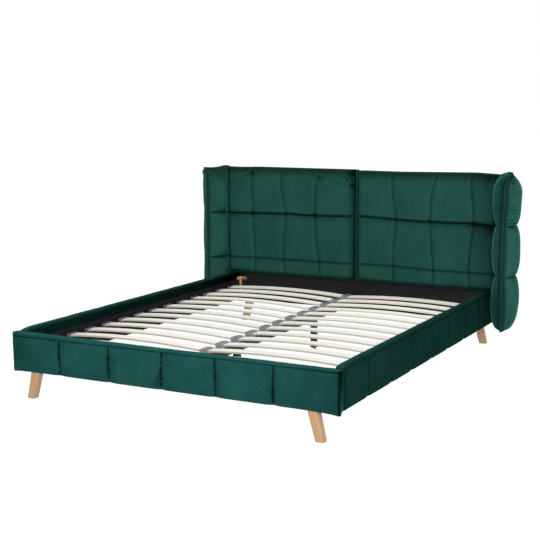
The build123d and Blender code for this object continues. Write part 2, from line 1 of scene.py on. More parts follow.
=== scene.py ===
import json
import math
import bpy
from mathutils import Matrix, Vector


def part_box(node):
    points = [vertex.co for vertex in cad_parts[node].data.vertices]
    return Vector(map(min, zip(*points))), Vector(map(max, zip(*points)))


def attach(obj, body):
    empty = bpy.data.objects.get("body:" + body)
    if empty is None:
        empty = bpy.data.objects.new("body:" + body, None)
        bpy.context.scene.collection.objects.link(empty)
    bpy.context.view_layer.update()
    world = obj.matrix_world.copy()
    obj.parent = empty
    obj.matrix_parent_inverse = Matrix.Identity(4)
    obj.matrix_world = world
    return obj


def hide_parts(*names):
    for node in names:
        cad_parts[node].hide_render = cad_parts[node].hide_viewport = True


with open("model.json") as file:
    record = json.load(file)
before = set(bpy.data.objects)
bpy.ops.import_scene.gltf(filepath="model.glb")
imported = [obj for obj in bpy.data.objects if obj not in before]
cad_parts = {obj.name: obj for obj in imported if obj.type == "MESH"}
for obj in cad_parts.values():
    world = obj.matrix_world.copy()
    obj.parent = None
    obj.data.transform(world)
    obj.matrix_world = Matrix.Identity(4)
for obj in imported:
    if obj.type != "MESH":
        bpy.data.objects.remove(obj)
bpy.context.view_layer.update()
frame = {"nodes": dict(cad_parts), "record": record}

from types import SimpleNamespace

import bpy
import numpy as np
from mathutils import Matrix, Vector

# Body that every piece rides on, and the bed's two sides
BODY = "frame"
SIDES = ((-1, "left"), (1, "right"))

# Mesh spacing of the cloth, and the extra lines beside each seam
STEP = 0.0034
WING_STEP = 0.0026
CREASE_OFFSETS = (0.0012, 0.0028, 0.005, 0.008, 0.012)
SAME_PLACE = 1e-9
FAR_AWAY = 1e3

# Places taken from the frame: lowest and highest corners of its nodes
foot_board_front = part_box("footboard_board")[0][1]
rail_board_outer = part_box("side_rail_board_right")[1][0]
cover_low, cover_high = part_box("footboard_cover")
rail_low, rail_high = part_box("side_rail_cover_right")
lower_low, lower_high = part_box("headboard_lower_panel")
head_low, head_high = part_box("headboard_cushion_right")
back_low, back_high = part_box("headboard_back_covers")
wing_low, wing_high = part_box("wing_cushion_right")
wing_board_low, wing_board_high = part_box("wing_board_right")


# Meshes

# Length of a rounded corner per reach, and how much finer than the step it is sampled
CORNER_ARC = 1.6
CORNER_FINENESS = 2


def stations(start, end, seams, step=STEP):
    """Sorted places from start to end, evenly spaced and closer together beside each seam."""
    count = max(2, int(round((end - start) / step)) + 1)
    places = list(np.linspace(start, end, count))
    for seam in seams:
        near = [seam] + [seam + side * offset for offset in CREASE_OFFSETS for side in (-1, 1)]
        places = [place for place in places if abs(place - seam) > CREASE_OFFSETS[-1]]
        places += [place for place in near if start - SAME_PLACE <= place <= end + SAME_PLACE]
    places += [start, end]
    places = np.array(sorted(places))
    keep = np.concatenate([[True], np.diff(places) > CREASE_OFFSETS[0] / 3])
    return places[keep]


def with_rims(places, offsets, low=None, high=None):
    """The places plus extra ones at the offsets above low and below high, each place once."""
    extra = [] if low is None else [low + offset for offset in offsets]
    extra += [] if high is None else [high - offset for offset in offsets]
    return np.array(sorted(set(np.round(np.concatenate([places, extra]), 6))))


def new_object(name, points, faces, material, ride=True, painted_shade=None):
    """Smooth mesh object that rides on the bed's frame.

    The last argument is the shade painted at each point, from 0 to 1, in folds, seams and shadowed places;
    the velvet is darker there.
    """
    mesh = bpy.data.meshes.new(name)
    mesh.from_pydata(np.asarray(points, dtype=float).tolist(), [], faces)
    mesh.validate()
    mesh.polygons.foreach_set("use_smooth", [True] * len(mesh.polygons))
    mesh.update()
    piece = bpy.data.objects.new(name, mesh)
    bpy.context.scene.collection.objects.link(piece)
    mesh.materials.append(material)
    if painted_shade is not None:
        layer = mesh.attributes.new("painted_shade", "FLOAT", "POINT")
        values = np.zeros(len(mesh.vertices))
        values[:painted_shade.size] = unit(painted_shade).ravel()
        layer.data.foreach_set("value", values)
    if ride:
        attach(piece, BODY)
    return piece


def grid_faces(rows, columns, wrap=False, flip=False):
    """Quads between rows of points. With wrap, the last column joins the first."""
    index = np.arange(rows * columns).reshape(rows, columns)
    if wrap:
        index = np.hstack([index, index[:, :1]])
    quads = np.stack([index[:-1, :-1], index[:-1, 1:], index[1:, 1:], index[1:, :-1]], axis=-1)
    quads = quads.reshape(-1, 4)
    if flip:
        quads = quads[:, ::-1]
    return quads.tolist()


def tube_object(name, rings, material, flip=False, painted_shade=None):
    """Closed skin from rings of points, shape (rings, points, 3), with flat ends."""
    count, around = rings.shape[:2]
    faces = grid_faces(count, around, wrap=True, flip=flip)
    first = list(range(around))
    last = [(count - 1) * around + k for k in range(around)]
    faces.append(first if flip else first[::-1])
    faces.append(last[::-1] if flip else last)
    return new_object(name, rings.reshape(-1, 3), faces, material, painted_shade=painted_shade)


def pad_object(name, front, back_y, material, flip, painted_shade=None):
    """Closed pad from a grid of front points: straight sides run back from its rim to a flat back."""
    rows, count = front.shape[:2]
    index = np.arange(rows * count).reshape(rows, count)
    rim = np.concatenate([index[:, 0], index[-1, 1:], index[-2::-1, -1], index[0, -2:0:-1]])
    points = front.reshape(-1, 3)
    back = points[rim]
    back[:, 1] = back_y
    behind = rows * count + np.arange(len(rim))
    sides = np.stack([rim, np.roll(rim, -1), np.roll(behind, -1), behind], axis=-1)
    way = -1 if flip else 1
    faces = grid_faces(rows, count, flip=flip) + sides[:, ::way].tolist() + [behind[::way].tolist()]
    return new_object(name, np.concatenate([points, back]), faces, material, painted_shade=painted_shade)


def rounded_outline(outline_corners, step=STEP):
    """Closed outline through corners (a, b, radius), its corners rounded, sampled at about step."""
    points = []
    count = len(outline_corners)
    for k, (a, b, radius) in enumerate(outline_corners):
        here = np.array((a, b))
        before = np.array(outline_corners[k - 1][:2]) - here
        after = np.array(outline_corners[(k + 1) % count][:2]) - here
        reach = min(radius, np.linalg.norm(before) / 2, np.linalg.norm(after) / 2)
        if reach <= 0:
            points.append(here)
            continue
        enter = here + before / np.linalg.norm(before) * reach
        leave = here + after / np.linalg.norm(after) * reach
        turns = max(3, int(math.ceil(reach * CORNER_ARC / step * CORNER_FINENESS)))
        for turn in np.linspace(0, 1, turns + 1):
            points.append((1 - turn) ** 2 * enter + 2 * turn * (1 - turn) * here + turn ** 2 * leave)
    outline = []
    for start, end in zip(points, points[1:] + points[:1]):
        runs = max(1, int(round(np.linalg.norm(end - start) / step)))
        outline += [start + (end - start) * run / runs for run in range(runs)]
    return np.array(outline)


# Soft surface detail

# Multipliers of column, row, seed and sine that scatter the repeatable random values
HASH = (127.1, 311.7, 74.7, 43758.5453)

# Pleats: the drift of their lines, their mean strength and its variation, and where they start
PLEAT_DRIFT = 0.55
PLEAT_STRENGTH = 0.55
PLEAT_VARIATION = 0.45
PLEAT_START = 0.15


def unit(value):
    """The value, held between 0 and 1."""
    return np.clip(value, 0, 1)


def fade(distance, reach, power=1):
    """1 at no distance, falling towards 0 over the reach."""
    return np.exp(-(distance / reach) ** power)


def swell(distance, reach):
    """0 at a seam, rising steeply and levelling off at 1 over the given reach."""
    return 1 - fade(distance, reach)


def eased(share):
    """A share from 0 to 1 with a soft start and end."""
    return share * share * (3 - 2 * share)


def lattice(column, row, seed):
    """Repeatable random value from 0 to 1 at each whole place."""
    value = np.sin(column * HASH[0] + row * HASH[1] + seed * HASH[2]) * HASH[3]
    return value - np.floor(value)


def ripple(a, b, seed=0):
    """Smooth noise from -1 to 1 with features about one unit apart."""
    column = np.floor(a)
    row = np.floor(b)
    along = eased(a - column)
    up = eased(b - row)
    low = lattice(column, row, seed) * (1 - along) + lattice(column + 1, row, seed) * along
    high = lattice(column, row + 1, seed) * (1 - along) + lattice(column + 1, row + 1, seed) * along
    return 2 * (low * (1 - up) + high * up) - 1


def nearest(value, places):
    """Distance to the nearest place."""
    gap = np.full(np.shape(value), FAR_AWAY)
    for place in places:
        gap = np.minimum(gap, np.abs(value - place))
    return gap


def pleats(along, away, spacing, reach, seed):
    """Short folds that start at a seam: along runs beside it, away is the distance from it."""
    drift = PLEAT_DRIFT * ripple(along / (3.1 * spacing), away / (2 * reach), seed)
    wave = np.cos(2 * math.pi * (along / spacing + drift))
    varied = ripple(along / (2.3 * spacing), away * 0 + 0.5, seed + 7)
    strength = PLEAT_STRENGTH + PLEAT_VARIATION * varied
    return wave * strength * (fade(away, reach, 1.3) * swell(away, PLEAT_START * reach))


def window(value, low, high, soft):
    """1 between low and high, fading to 0 over soft outside them."""
    return eased(unit((value - low) / soft + 1) * unit((high - value) / soft + 1))


def rounding(distance, radius, power=0.5):
    """0 at an edge, rising along a rounded profile to 1 at the given distance."""
    return unit(1 - (1 - unit(distance / radius)) ** 2) ** power


# Materials

SLAT_TONE_STRETCH = (0.9, 9.0, 0.2)
SLAT_TONE_STOPS = (0.36, 0.5, 0.64)
WOOD_FINE_SHARE = 0.25
WOOD_GLOSS = 0.3
CLOTH_GLOSS = 0.2
CLOTH_ROUGHNESS = 0.85
COATED_GLOSS = 0.12
USUAL_GLOSS = 0.5
VELVET_ROUGHNESS = 0.8
VELVET_SHEEN_ROUGHNESS = 0.3
VELVET_SHEEN_TINT = (0.10, 0.62, 0.48, 1)
# Share of the velvet's colour left where the painted shade is deepest
VELVET_FOLD_SHADE = 0.04

# The lining's threads per metre, and the wave texture's units per thread
THREADS = 1400.0
WAVE_UNITS = 6.3


def shader(name):
    """New material, its node tree and its Principled shader."""
    material = bpy.data.materials.new(name)
    material.use_nodes = True
    tree = material.node_tree
    return material, tree, tree.nodes["Principled BSDF"]


def feed(tree, node, **values):
    """Sets a node's properties and inputs by name; a value that is a socket is linked."""
    for key, value in values.items():
        if key not in node.inputs.keys():
            setattr(node, key, value)
        elif isinstance(value, bpy.types.NodeSocket):
            tree.links.new(value, node.inputs[key])
        else:
            node.inputs[key].default_value = value
    return node


def add(tree, kind, **values):
    """Adds a node with the given properties and inputs."""
    return feed(tree, tree.nodes.new(kind), **values)


def object_place(tree, scale=(1, 1, 1)):
    """Object coordinates, stretched by scale."""
    place = add(tree, "ShaderNodeTexCoord").outputs["Object"]
    return add(tree, "ShaderNodeMapping", Vector=place, Scale=scale).outputs["Vector"]


def noise(tree, vector, scale, detail=3.0, roughness=0.55):
    """Noise texture value on the given coordinates."""
    return add(tree, "ShaderNodeTexNoise", Vector=vector, Scale=scale, Detail=detail,
               Roughness=roughness).outputs["Fac"]


def ramp(tree, value, stops):
    """Colour ramp: stops are (position, colour)."""
    node = add(tree, "ShaderNodeValToRGB", Fac=value)
    elements = node.color_ramp.elements
    while len(elements) < len(stops):
        elements.new(0.5)
    for element, (position, colour) in zip(elements, stops):
        element.position = position
        element.color = (*colour, 1)
    return node.outputs["Color"]


def grey_ramp(tree, value, stops):
    """Ramp of greys: stops are (position, brightness)."""
    return ramp(tree, value, [(position, (share, share, share)) for position, share in stops])


def bump(tree, height, strength, distance, normal=None):
    """Bump from a height, on top of another bump if one is given."""
    node = add(tree, "ShaderNodeBump", Height=height, Strength=strength, Distance=distance)
    if normal is not None:
        feed(tree, node, Normal=normal)
    return node.outputs["Normal"]


def mixed(tree, kind, first, second, factor, blend="MIX"):
    """Mix of two values or colours."""
    return add(tree, "ShaderNodeMix", data_type=kind, blend_type=blend, Factor=factor, A=first,
               B=second).outputs["Result"]


def multiplied(tree, colour, other):
    """One colour times another."""
    return mixed(tree, "RGBA", colour, other, 1.0, "MULTIPLY")


def axis_share(tree, vector, axis):
    """One axis of a vector, brought from -1..1 to 0..1."""
    parts = add(tree, "ShaderNodeSeparateXYZ", Vector=vector)
    share = add(tree, "ShaderNodeMath", operation="MULTIPLY_ADD")
    tree.links.new(parts.outputs[axis], share.inputs[0])
    for place in (1, 2):
        share.inputs[place].default_value = 0.5
    return share.outputs["Value"]


def shaded_by_facing(tree, colour, axis, stops):
    """The colour times a ramp over the way the surface faces, painting shade by facing: 0 is against the
    axis, 1 along it.
    """
    normal = add(tree, "ShaderNodeNewGeometry").outputs["Normal"]
    return multiplied(tree, colour, grey_ramp(tree, axis_share(tree, normal, axis), stops))


def surface(tree, main, colour, normal, roughness, gloss):
    """Gives the shader its colour, bump, roughness and specular level."""
    values = {"Base Color": colour, "Specular IOR Level": gloss}
    feed(tree, main, Normal=normal, Roughness=roughness, **values)


def velvet_material(name, dark, light, sheen, gloss, facing_shade_up, facing_shade_across):
    """Deep green velvet: short pile and sheen, with shade painted into its colour.

    Two ramps over the facing, upwards and towards the bed's right, paint shade by the way each face
    turns from the light; the mesh's shade attribute paints shade in folds, seams and shadowed places.
    """
    material, tree, main = shader(name)
    place = object_place(tree)
    colour = ramp(tree, noise(tree, place, 6.5, 4.0, 0.6), [(0.32, dark), (0.7, light)])
    # Painted shade by facing: faces turned up, down or sideways are darkened where less light falls on them
    colour = shaded_by_facing(tree, colour, "Z", facing_shade_up)
    colour = shaded_by_facing(tree, colour, "X", facing_shade_across)
    # Painted shade: the mesh's shade attribute darkens the colour in folds, seams and shadowed places
    fold = add(tree, "ShaderNodeAttribute", attribute_name="painted_shade")
    painted_fold_shade = grey_ramp(tree, fold.outputs["Fac"], [(0.0, 1), (1.0, VELVET_FOLD_SHADE)])
    strokes = bump(tree, noise(tree, place, 26.0, 3.0, 0.5), 0.3, 0.004)
    pile = bump(tree, noise(tree, place, 900.0, 2.0, 0.6), 0.3, 0.0006, strokes)
    surface(tree, main, multiplied(tree, colour, painted_fold_shade), pile, VELVET_ROUGHNESS, gloss)
    pile_sheen = {"Sheen Weight": sheen, "Sheen Roughness": VELVET_SHEEN_ROUGHNESS}
    feed(tree, main, **pile_sheen, **{"Sheen Tint": VELVET_SHEEN_TINT})
    return material


def cloth_material(name, dark, light):
    """Thin plain cloth with a fine weave."""
    material, tree, main = shader(name)
    place = object_place(tree)
    colour = ramp(tree, noise(tree, place, 9.0, 3.0), [(0.35, dark), (0.7, light)])
    warp = add(tree, "ShaderNodeTexWave", Vector=place, Scale=THREADS / WAVE_UNITS, Distortion=0.4)
    weave = bump(tree, warp.outputs["Fac"], 0.2, 0.0004)
    sag = bump(tree, noise(tree, place, 6.0, 2.0), 0.3, 0.006, weave)
    surface(tree, main, colour, sag, CLOTH_ROUGHNESS, CLOTH_GLOSS)
    return material


def wood_material(name, light, dark, grain, roughness, edge=None, tones=None, painted_lengthwise_shade=None):
    """Wood: grain is the stretch of the rings along X, Y and Z; small means along the grain.

    edge is the share of the colour left on faces that look along the bed: partly the plywood's darker edge,
    partly painted shade.
    tones are three tints that change along the bed, so neighbouring slats differ.
    The lengthwise ramp is painted shade: brightness from 1 m before the bed's middle to 1 m behind it,
    darkest at the front, nearest the lamp.
    """
    material, tree, main = shader(name)
    place = object_place(tree, grain)
    rings = noise(tree, place, 14.0, 5.0, 0.62)
    fine = noise(tree, place, 70.0, 3.0, 0.7)
    both = mixed(tree, "FLOAT", rings, fine, WOOD_FINE_SHARE)
    colour = ramp(tree, both, [(0.36, dark), (0.62, light)])
    if tones:
        batch = noise(tree, object_place(tree, SLAT_TONE_STRETCH), 1.0, 1.0)
        colour = multiplied(tree, colour, ramp(tree, batch, list(zip(SLAT_TONE_STOPS, tones))))
    # Painted shade that darkens the front slats, evening out the lamp's light along the bed
    if painted_lengthwise_shade:
        along = axis_share(tree, object_place(tree), "Y")
        colour = multiplied(tree, colour, grey_ramp(tree, along, painted_lengthwise_shade))
    # Faces that look along the bed are darker: partly the plywood's edge, partly painted shade
    if edge:
        colour = shaded_by_facing(tree, colour, "Y", [(0.12, edge), (0.3, 1), (0.7, 1), (0.88, edge)])
    surface(tree, main, colour, bump(tree, fine, 0.15, 0.0004), roughness, WOOD_GLOSS)
    return material


def hard_material(name, dark, light, roughness, metallic=None):
    """Moulded plastic, or with metallic set, plated (1) or coated (0) steel, lightly mottled."""
    material, tree, main = shader(name)
    place = object_place(tree)
    if metallic is None:
        mottle = noise(tree, place, 30.0, 2.0)
        grain = bump(tree, noise(tree, place, 700.0, 2.0), 0.2, 0.0003)
    else:
        mottle = noise(tree, place, 60.0, 4.0)
        grain = bump(tree, noise(tree, place, 400.0, 2.0), 0.15, 0.0003)
        main.inputs["Metallic"].default_value = metallic
    colour = ramp(tree, mottle, [(0.3, dark), (0.7, light)])
    surface(tree, main, colour, grain, roughness, COATED_GLOSS if metallic == 0 else USUAL_GLOSS)
    return material


# Four copies of one green velvet for different pieces: besides sheen and gloss they differ in tone and in
# the shade their facing ramps paint, set to how light falls on each piece, so they are partly lit and shaded
# copies
velvet = velvet_material(
    "velvet_green", (0.0088, 0.0530, 0.0400), (0.0132, 0.0675, 0.0522), sheen=0.16, gloss=0.04,
    facing_shade_up=[(0.15, 0.35), (0.4, 1), (0.56, 1), (0.9, 0.40)],
    facing_shade_across=[(0.05, 0.6), (0.3, 0.6), (0.48, 0.76), (0.95, 0.98)],
)
velvet_front = velvet_material(
    "velvet_front", (0.0070, 0.0485, 0.0430), (0.0122, 0.0665, 0.0600), sheen=0.18, gloss=0.0,
    facing_shade_up=[(0.56, 0.9), (0.9, 1.0)],
    facing_shade_across=[(0.1, 0.4), (0.5, 0.9), (0.62, 0.9), (0.9, 0.22)],
)
velvet_side = velvet_material(
    "velvet_side", (0.0095, 0.0500, 0.0400), (0.0145, 0.0670, 0.0545), sheen=0.04, gloss=0.0,
    facing_shade_up=[(0.56, 0.42), (0.80, 0.5), (0.97, 1.0)],
    facing_shade_across=[(0.1, 0.75), (0.5, 0.95), (0.9, 0.9)],
)
velvet_wing = velvet_material(
    "velvet_wing", (0.0130, 0.0595, 0.0470), (0.0190, 0.0755, 0.0610), sheen=0.40, gloss=0.0,
    facing_shade_up=[(0.15, 0.35), (0.4, 1), (0.56, 1), (0.9, 0.50)],
    facing_shade_across=[(0.0, 0.86), (0.15, 0.76), (0.45, 0.62), (0.95, 1.0)],
)
black_cloth = cloth_material("black_cloth", (0.0036, 0.0032, 0.0031), (0.0058, 0.0052, 0.0050))
# Darker copy of the grey plastic for the slats' end caps: painted shade for their place under the rails'
# edge
shaded_cap_plastic = hard_material("shaded_cap_plastic", (0.075, 0.07, 0.095), (0.11, 0.105, 0.135), 0.45)

FINISHES = {
    "velvet": velvet,
    "black_cloth": black_cloth,
    "slat_wood": wood_material(
        "slat_wood", (0.97, 0.945, 0.865), (0.905, 0.88, 0.795), (0.35, 3.0, 3.0), 0.5, edge=0.45,
        tones=[(0.95, 0.98, 0.97), (1.0, 1.0, 1.0), (1.0, 0.95, 0.91)],
        painted_lengthwise_shade=[(0.0, 0.68), (0.5, 0.77), (0.84, 1.0)],
    ),
    "leg_wood": wood_material(
        "leg_wood", (0.335, 0.207, 0.106), (0.262, 0.155, 0.077), (2.2, 2.2, 0.35), 0.45),
    "board": wood_material("board_wood", (0.52, 0.38, 0.24), (0.40, 0.28, 0.17), (0.5, 0.5, 3.0), 0.7),
    "grey_plastic": hard_material("grey_plastic", (0.142, 0.146, 0.156), (0.186, 0.190, 0.200), 0.4),
    "black_plastic": hard_material("black_plastic", (0.008, 0.008, 0.008), (0.014, 0.014, 0.014), 0.45),
    "black_steel": hard_material("black_steel", (0.008, 0.008, 0.009), (0.016, 0.016, 0.017), 0.5, 0),
    "yellow_zinc": hard_material("yellow_zinc", (0.50, 0.36, 0.18), (0.72, 0.55, 0.32), 0.34, 1),
    "bolt_steel": hard_material("bolt_steel", (0.35, 0.35, 0.36), (0.5, 0.5, 0.51), 0.32, 1),
}


def dress_frame():
    """Gives each CAD node the procedural material of its slot."""
    for entry in frame["record"]["subparts"]:
        mesh = frame["nodes"][entry["node"]].data
        finish = FINISHES[entry["material_slot"]]
        # The end caps get the darker copy of the grey plastic, as painted shade
        if entry["node"].startswith("slat_end_cap"):
            finish = shaded_cap_plastic
        if not mesh.materials:
            mesh.materials.append(finish)
        for place in range(len(mesh.materials)):
            mesh.materials[place] = finish


# Padded beams: the footboard and the side rails

# How strongly a fold paints shade into the cloth, per metre of its depth
FOLD_SHADE = 110

# Section of a beam
BEAM_SEAM_DROP = 0.0085
BEAM_LOW_RADIUS = 0.008
BEAM_BAND_RADIUS = 0.0065
BEAM_BAND_OUT = 0.0012
BEAM_TOP_DEPTH = 0.006
BEAM_GROOVE = 0.003
BEAM_LIP_BACK = 0.034
BEAM_LIP_FRONT = 0.018
BEAM_CLOTH = 0.003
BEAM_CLOTH_RADIUS = 0.001
BEAM_FLAP = 0.268
BEAM_FACE_LIMIT = 0.0003

# Puffed face: its height, unevenness and fullness, and how far seams and ends draw it in
BEAM_PUFF = 0.0085
BEAM_UNEVEN = 0.0016
BEAM_FULLNESS = 3.2
BEAM_SEAM_REACH = 0.02
BEAM_END_REACH = 0.03
BEAM_END_SHARES = (0.08, 0.25, 0.5, 0.8, 1.1)
BEAM_FOLD_SPACING = 0.027
BEAM_FOLD_END = 0.02
BEAM_BAND_WAVE = 0.0007

# Sewn seams: depth and width, and the pitch that gives each seam its own random values
BEAM_SEAM_DEPTH = 0.0035
BEAM_SEAM_WIDTH = 0.0035
BEAM_SEAM_PITCH = 0.13


def beam_outline(thickness, bottom, top, form):
    """Section of a padded beam: out is 0 at the outer face, up is the height."""
    seam_height = top - BEAM_SEAM_DROP
    low = bottom - form["lip"]
    lining = -thickness + BEAM_CLOTH
    return rounded_outline([
        (-thickness, bottom, 0.002),
        (-BEAM_LIP_BACK, bottom, BEAM_LOW_RADIUS),
        (-BEAM_LIP_FRONT, low, BEAM_LOW_RADIUS),
        (0, low, BEAM_LOW_RADIUS),
        (0.0008, seam_height - 0.0006, BEAM_CLOTH_RADIUS),
        (-BEAM_GROOVE, seam_height + 0.0002, 0),
        (BEAM_BAND_OUT, seam_height + 0.0012, BEAM_CLOTH_RADIUS),
        (BEAM_BAND_OUT, top, BEAM_BAND_RADIUS),
        (-thickness, top + form["inner_lift"], 0.006),
        (-thickness, BEAM_FLAP, BEAM_CLOTH_RADIUS),
        (lining, BEAM_FLAP, BEAM_CLOTH_RADIUS),
        (lining, bottom + BEAM_CLOTH, BEAM_CLOTH_RADIUS),
        (-thickness, bottom + BEAM_CLOTH, BEAM_CLOTH_RADIUS),
    ], STEP * 0.8)


def beam_grid(start, end, thickness, bottom, top, seams, form):
    """Points of a beam's skin before any relief, and each point's place on it."""
    grid = SimpleNamespace(start=start, end=end, thickness=thickness, top=top)
    grid.low = bottom - form["lip"]
    grid.seam_height = top - BEAM_SEAM_DROP
    outline = beam_outline(thickness, bottom, top, form)
    offsets = [form["end_radius"] * share for share in BEAM_END_SHARES]
    places = with_rims(stations(start, end, seams), offsets, start, end)
    grid.along, grid.out = np.meshgrid(places, outline[:, 0], indexing="ij")
    grid.level = np.broadcast_to(outline[:, 1], grid.along.shape)
    grid.share = unit((grid.level - grid.low) / (grid.seam_height - grid.low))
    grid.is_front = (grid.out > -0.6 * BEAM_LOW_RADIUS) & (grid.level < grid.seam_height - BEAM_FACE_LIMIT)
    grid.face = np.where(grid.is_front, unit(1 - np.abs(2 * grid.share - 1) ** BEAM_FULLNESS), 0)
    grid.sewn = np.where(grid.is_front, unit(grid.share / 0.05), 0)
    grid.seam_gap = nearest(grid.along, seams)
    grid.from_start = grid.along - start
    grid.from_end = end - grid.along
    grid.top_part = unit((grid.level - (top - BEAM_TOP_DEPTH)) / BEAM_TOP_DEPTH)
    lip_part = unit((grid.out + BEAM_LIP_BACK) / (BEAM_LIP_BACK - BEAM_LIP_FRONT))
    grid.lip_part = lip_part * fade(unit(grid.level - grid.low), 0.03)
    return grid


def beam_shift(grid, form):
    """How far the section moves up: drooping lower lip, sagging seam, domed and lifted top."""
    droop = form["droop"][0] * fade(grid.from_start, 0.05) + form["droop"][1] * fade(grid.from_end, 0.05)
    middle = (grid.low + grid.seam_height) / 2
    sag_part = np.interp(grid.level, [grid.low, middle, grid.seam_height, grid.top], [0, 0, 1, 0])
    sag = form["sag"] * unit(1 - grid.from_start / 1.2) * unit((grid.out + 0.02) / 0.01)
    across = np.clip((grid.out + grid.thickness / 2) / (grid.thickness / 2), -1, 1)
    first, last = form["dome"]
    dome = first + (last - first) * grid.from_start / (grid.end - grid.start)
    dome = dome * swell(grid.from_start, 0.012)
    lift = form["lift"] * fade(grid.from_start, 0.15)
    return grid.top_part * (dome * (1 - across ** 2) ** 0.7 + lift) - sag_part * sag - grid.lip_part * droop


def beam_folds(folds, along, up, face, seed):
    """Relief of the fold groups beside the seams."""
    relief = np.zeros(up.shape)
    for seam, side, low, high, slant, depth, reach in folds:
        away = (along - seam) * side
        lean = up + slant * np.abs(away)
        part = pleats(lean, unit(away), BEAM_FOLD_SPACING, reach, seed + seam) * (away > 0)
        relief += depth * (part * window(up, low, high, BEAM_FOLD_END)) * unit(face * 2)
    return relief


def beam_painted_shade(grid, form, up, out, relief, seed):
    """Shade painted at each point of a beam's skin: in the seams and under the top band, near the ends,
    growing along the beam, on the end faces, the inner face and the top, and in folds.
    """
    vary = 1 + form["dashes"] * ripple(up / 0.011, np.round(grid.along / BEAM_SEAM_PITCH), seed + 17)
    seam_width = BEAM_SEAM_WIDTH * np.clip(vary, 0.5, 2)
    painted_shade = 0.75 * grid.sewn * np.clip(vary, 0, 2) * fade(grid.seam_gap, seam_width)
    near_band = np.where(np.abs(grid.share - 1) < 0.4, 1, 0)
    band = 0.8 * near_band * fade(np.abs(grid.level - grid.seam_height), 0.0016) * (out > -0.01)
    painted_shade = np.maximum(painted_shade, band)
    painted_shade = painted_shade + form["ends"][0] * fade(grid.from_start, 0.25)
    painted_shade = painted_shade + form["ends"][1] * fade(grid.from_end, 0.18)
    length = grid.end - grid.start
    painted_shade = painted_shade + form["fade"] * grid.from_start / length + FOLD_SHADE * unit(-relief)
    inside = unit((-out - grid.thickness + 0.010) / 0.008) * (1 - 0.9 * grid.top_part)
    painted_shade = painted_shade + form["inside"] * inside + form["top"] * grid.top_part
    painted_shade[[0, -1]] += form["end_face"]
    return painted_shade


def padded_beam(name, start, end, thickness, bottom, top, seams, place, material, form, folds=(), seed=1,
                flip=False):
    """Velvet skin of a board: puffed outer face in panels, a rolled top band, and an inner flap.

    place turns arrays (along, out, up) into world points. Out is 0 at the outer face.
    Each fold group is (seam, side, low, high, slant, depth, reach).
    """
    grid = beam_grid(start, end, thickness, bottom, top, seams, form)
    level, face = grid.level, grid.face
    wander = form["wander"] * ripple(level / 0.034, np.round(grid.along / BEAM_SEAM_PITCH), seed + 13)
    grid.along = grid.along + wander * grid.sewn * fade(grid.seam_gap, 0.02)
    along = grid.along
    end_gap = np.minimum(grid.from_start, grid.from_end)
    puff = face * swell(grid.seam_gap, BEAM_SEAM_REACH) * swell(end_gap, BEAM_END_REACH)
    soft = ripple(along / 0.11, level / 0.07, seed) + 0.5 * ripple(along / 0.05, level / 0.04, seed + 3)

    up = level + beam_shift(grid, form)
    out = grid.out + (BEAM_PUFF * puff + BEAM_UNEVEN * soft * face)
    out -= BEAM_SEAM_DEPTH * grid.sewn * fade(grid.seam_gap, BEAM_SEAM_WIDTH, 1.4)
    up += grid.lip_part * form["notch"] * fade(grid.seam_gap, 0.018, 1.5)
    under_band = np.where(grid.is_front, fade(1 - grid.share, 0.08), 0)
    out += BEAM_BAND_WAVE * under_band * ripple(along / 0.012, up * 0, seed + 11)
    relief = beam_folds(folds, along, up, face, seed)
    out += relief
    up += grid.top_part * 0.0008 * ripple(along / 0.05, out / 0.03, seed + 5)
    up += np.where(grid.share >= 1, 0.0005 * ripple(along / 0.02, out / 0.05, seed + 6), 0)
    painted_shade = beam_painted_shade(grid, form, up, out, relief, seed)

    end_radius = form["end_radius"]
    bend = np.clip(end_radius - end_gap, 0, None)
    inset = end_radius - np.sqrt(np.clip(end_radius ** 2 - bend ** 2, 0, None))
    out += (-thickness / 2 - out) * inset / (thickness / 2)

    rings = np.stack(place(along, out, up), axis=-1)
    piece = tube_object(name, rings, material, flip=flip, painted_shade=painted_shade)
    return piece


FOOT_PAD = 0.026
FOOT_SEAMS = (-0.572, -0.293, -0.007, 0.268, 0.550)
FOOT_FOLDS = (
    (-0.293, -1, 0.22, 0.28, -1.1, 0.0030, 0.030),
    (-0.293, -1, 0.14, 0.17, 1.1, 0.0024, 0.030),
    (-0.007, -1, 0.15, 0.26, 1.1, 0.0064, 0.034),
    (-0.007, 1, 0.24, 0.29, -1.0, 0.0024, 0.030),
    (0.268, -1, 0.17, 0.28, 1.0, 0.0030, 0.048),
    (0.268, 1, 0.26, 0.29, -1.0, 0.0020, 0.030),
    (0.550, -1, 0.20, 0.30, 1.0, 0.0034, 0.060),
    (0.550, -1, 0.14, 0.2, 1.0, 0.0022, 0.040),
)

# A beam's form: lower lip, its droop at both ends, the seam's sag and the top's lift at the start,
# dome of the top at both ends, lift of the inner edge, rounding of the ends. Ends, fade, end_face,
# inside and top are painted shade: how much darker the cloth is painted near each end, growing along
# the beam, on the end faces, on the inner face and on the top. Each seam draws the lower edge up by
# notch, wanders sideways, and the shade painted in it varies in width by dashes.
FOOT_FORM = {
    "lip": 0.006, "droop": (0.006, 0.009), "sag": 0.008, "lift": 0.004, "dome": (0, 0),
    "inner_lift": -0.002, "end_radius": 0.009, "ends": (0.24, 0.42), "notch": 0.003, "fade": 0.0,
    "end_face": 0.4, "inside": 0.0, "top": 0.0, "wander": 0.0026, "dashes": 0.45,
}

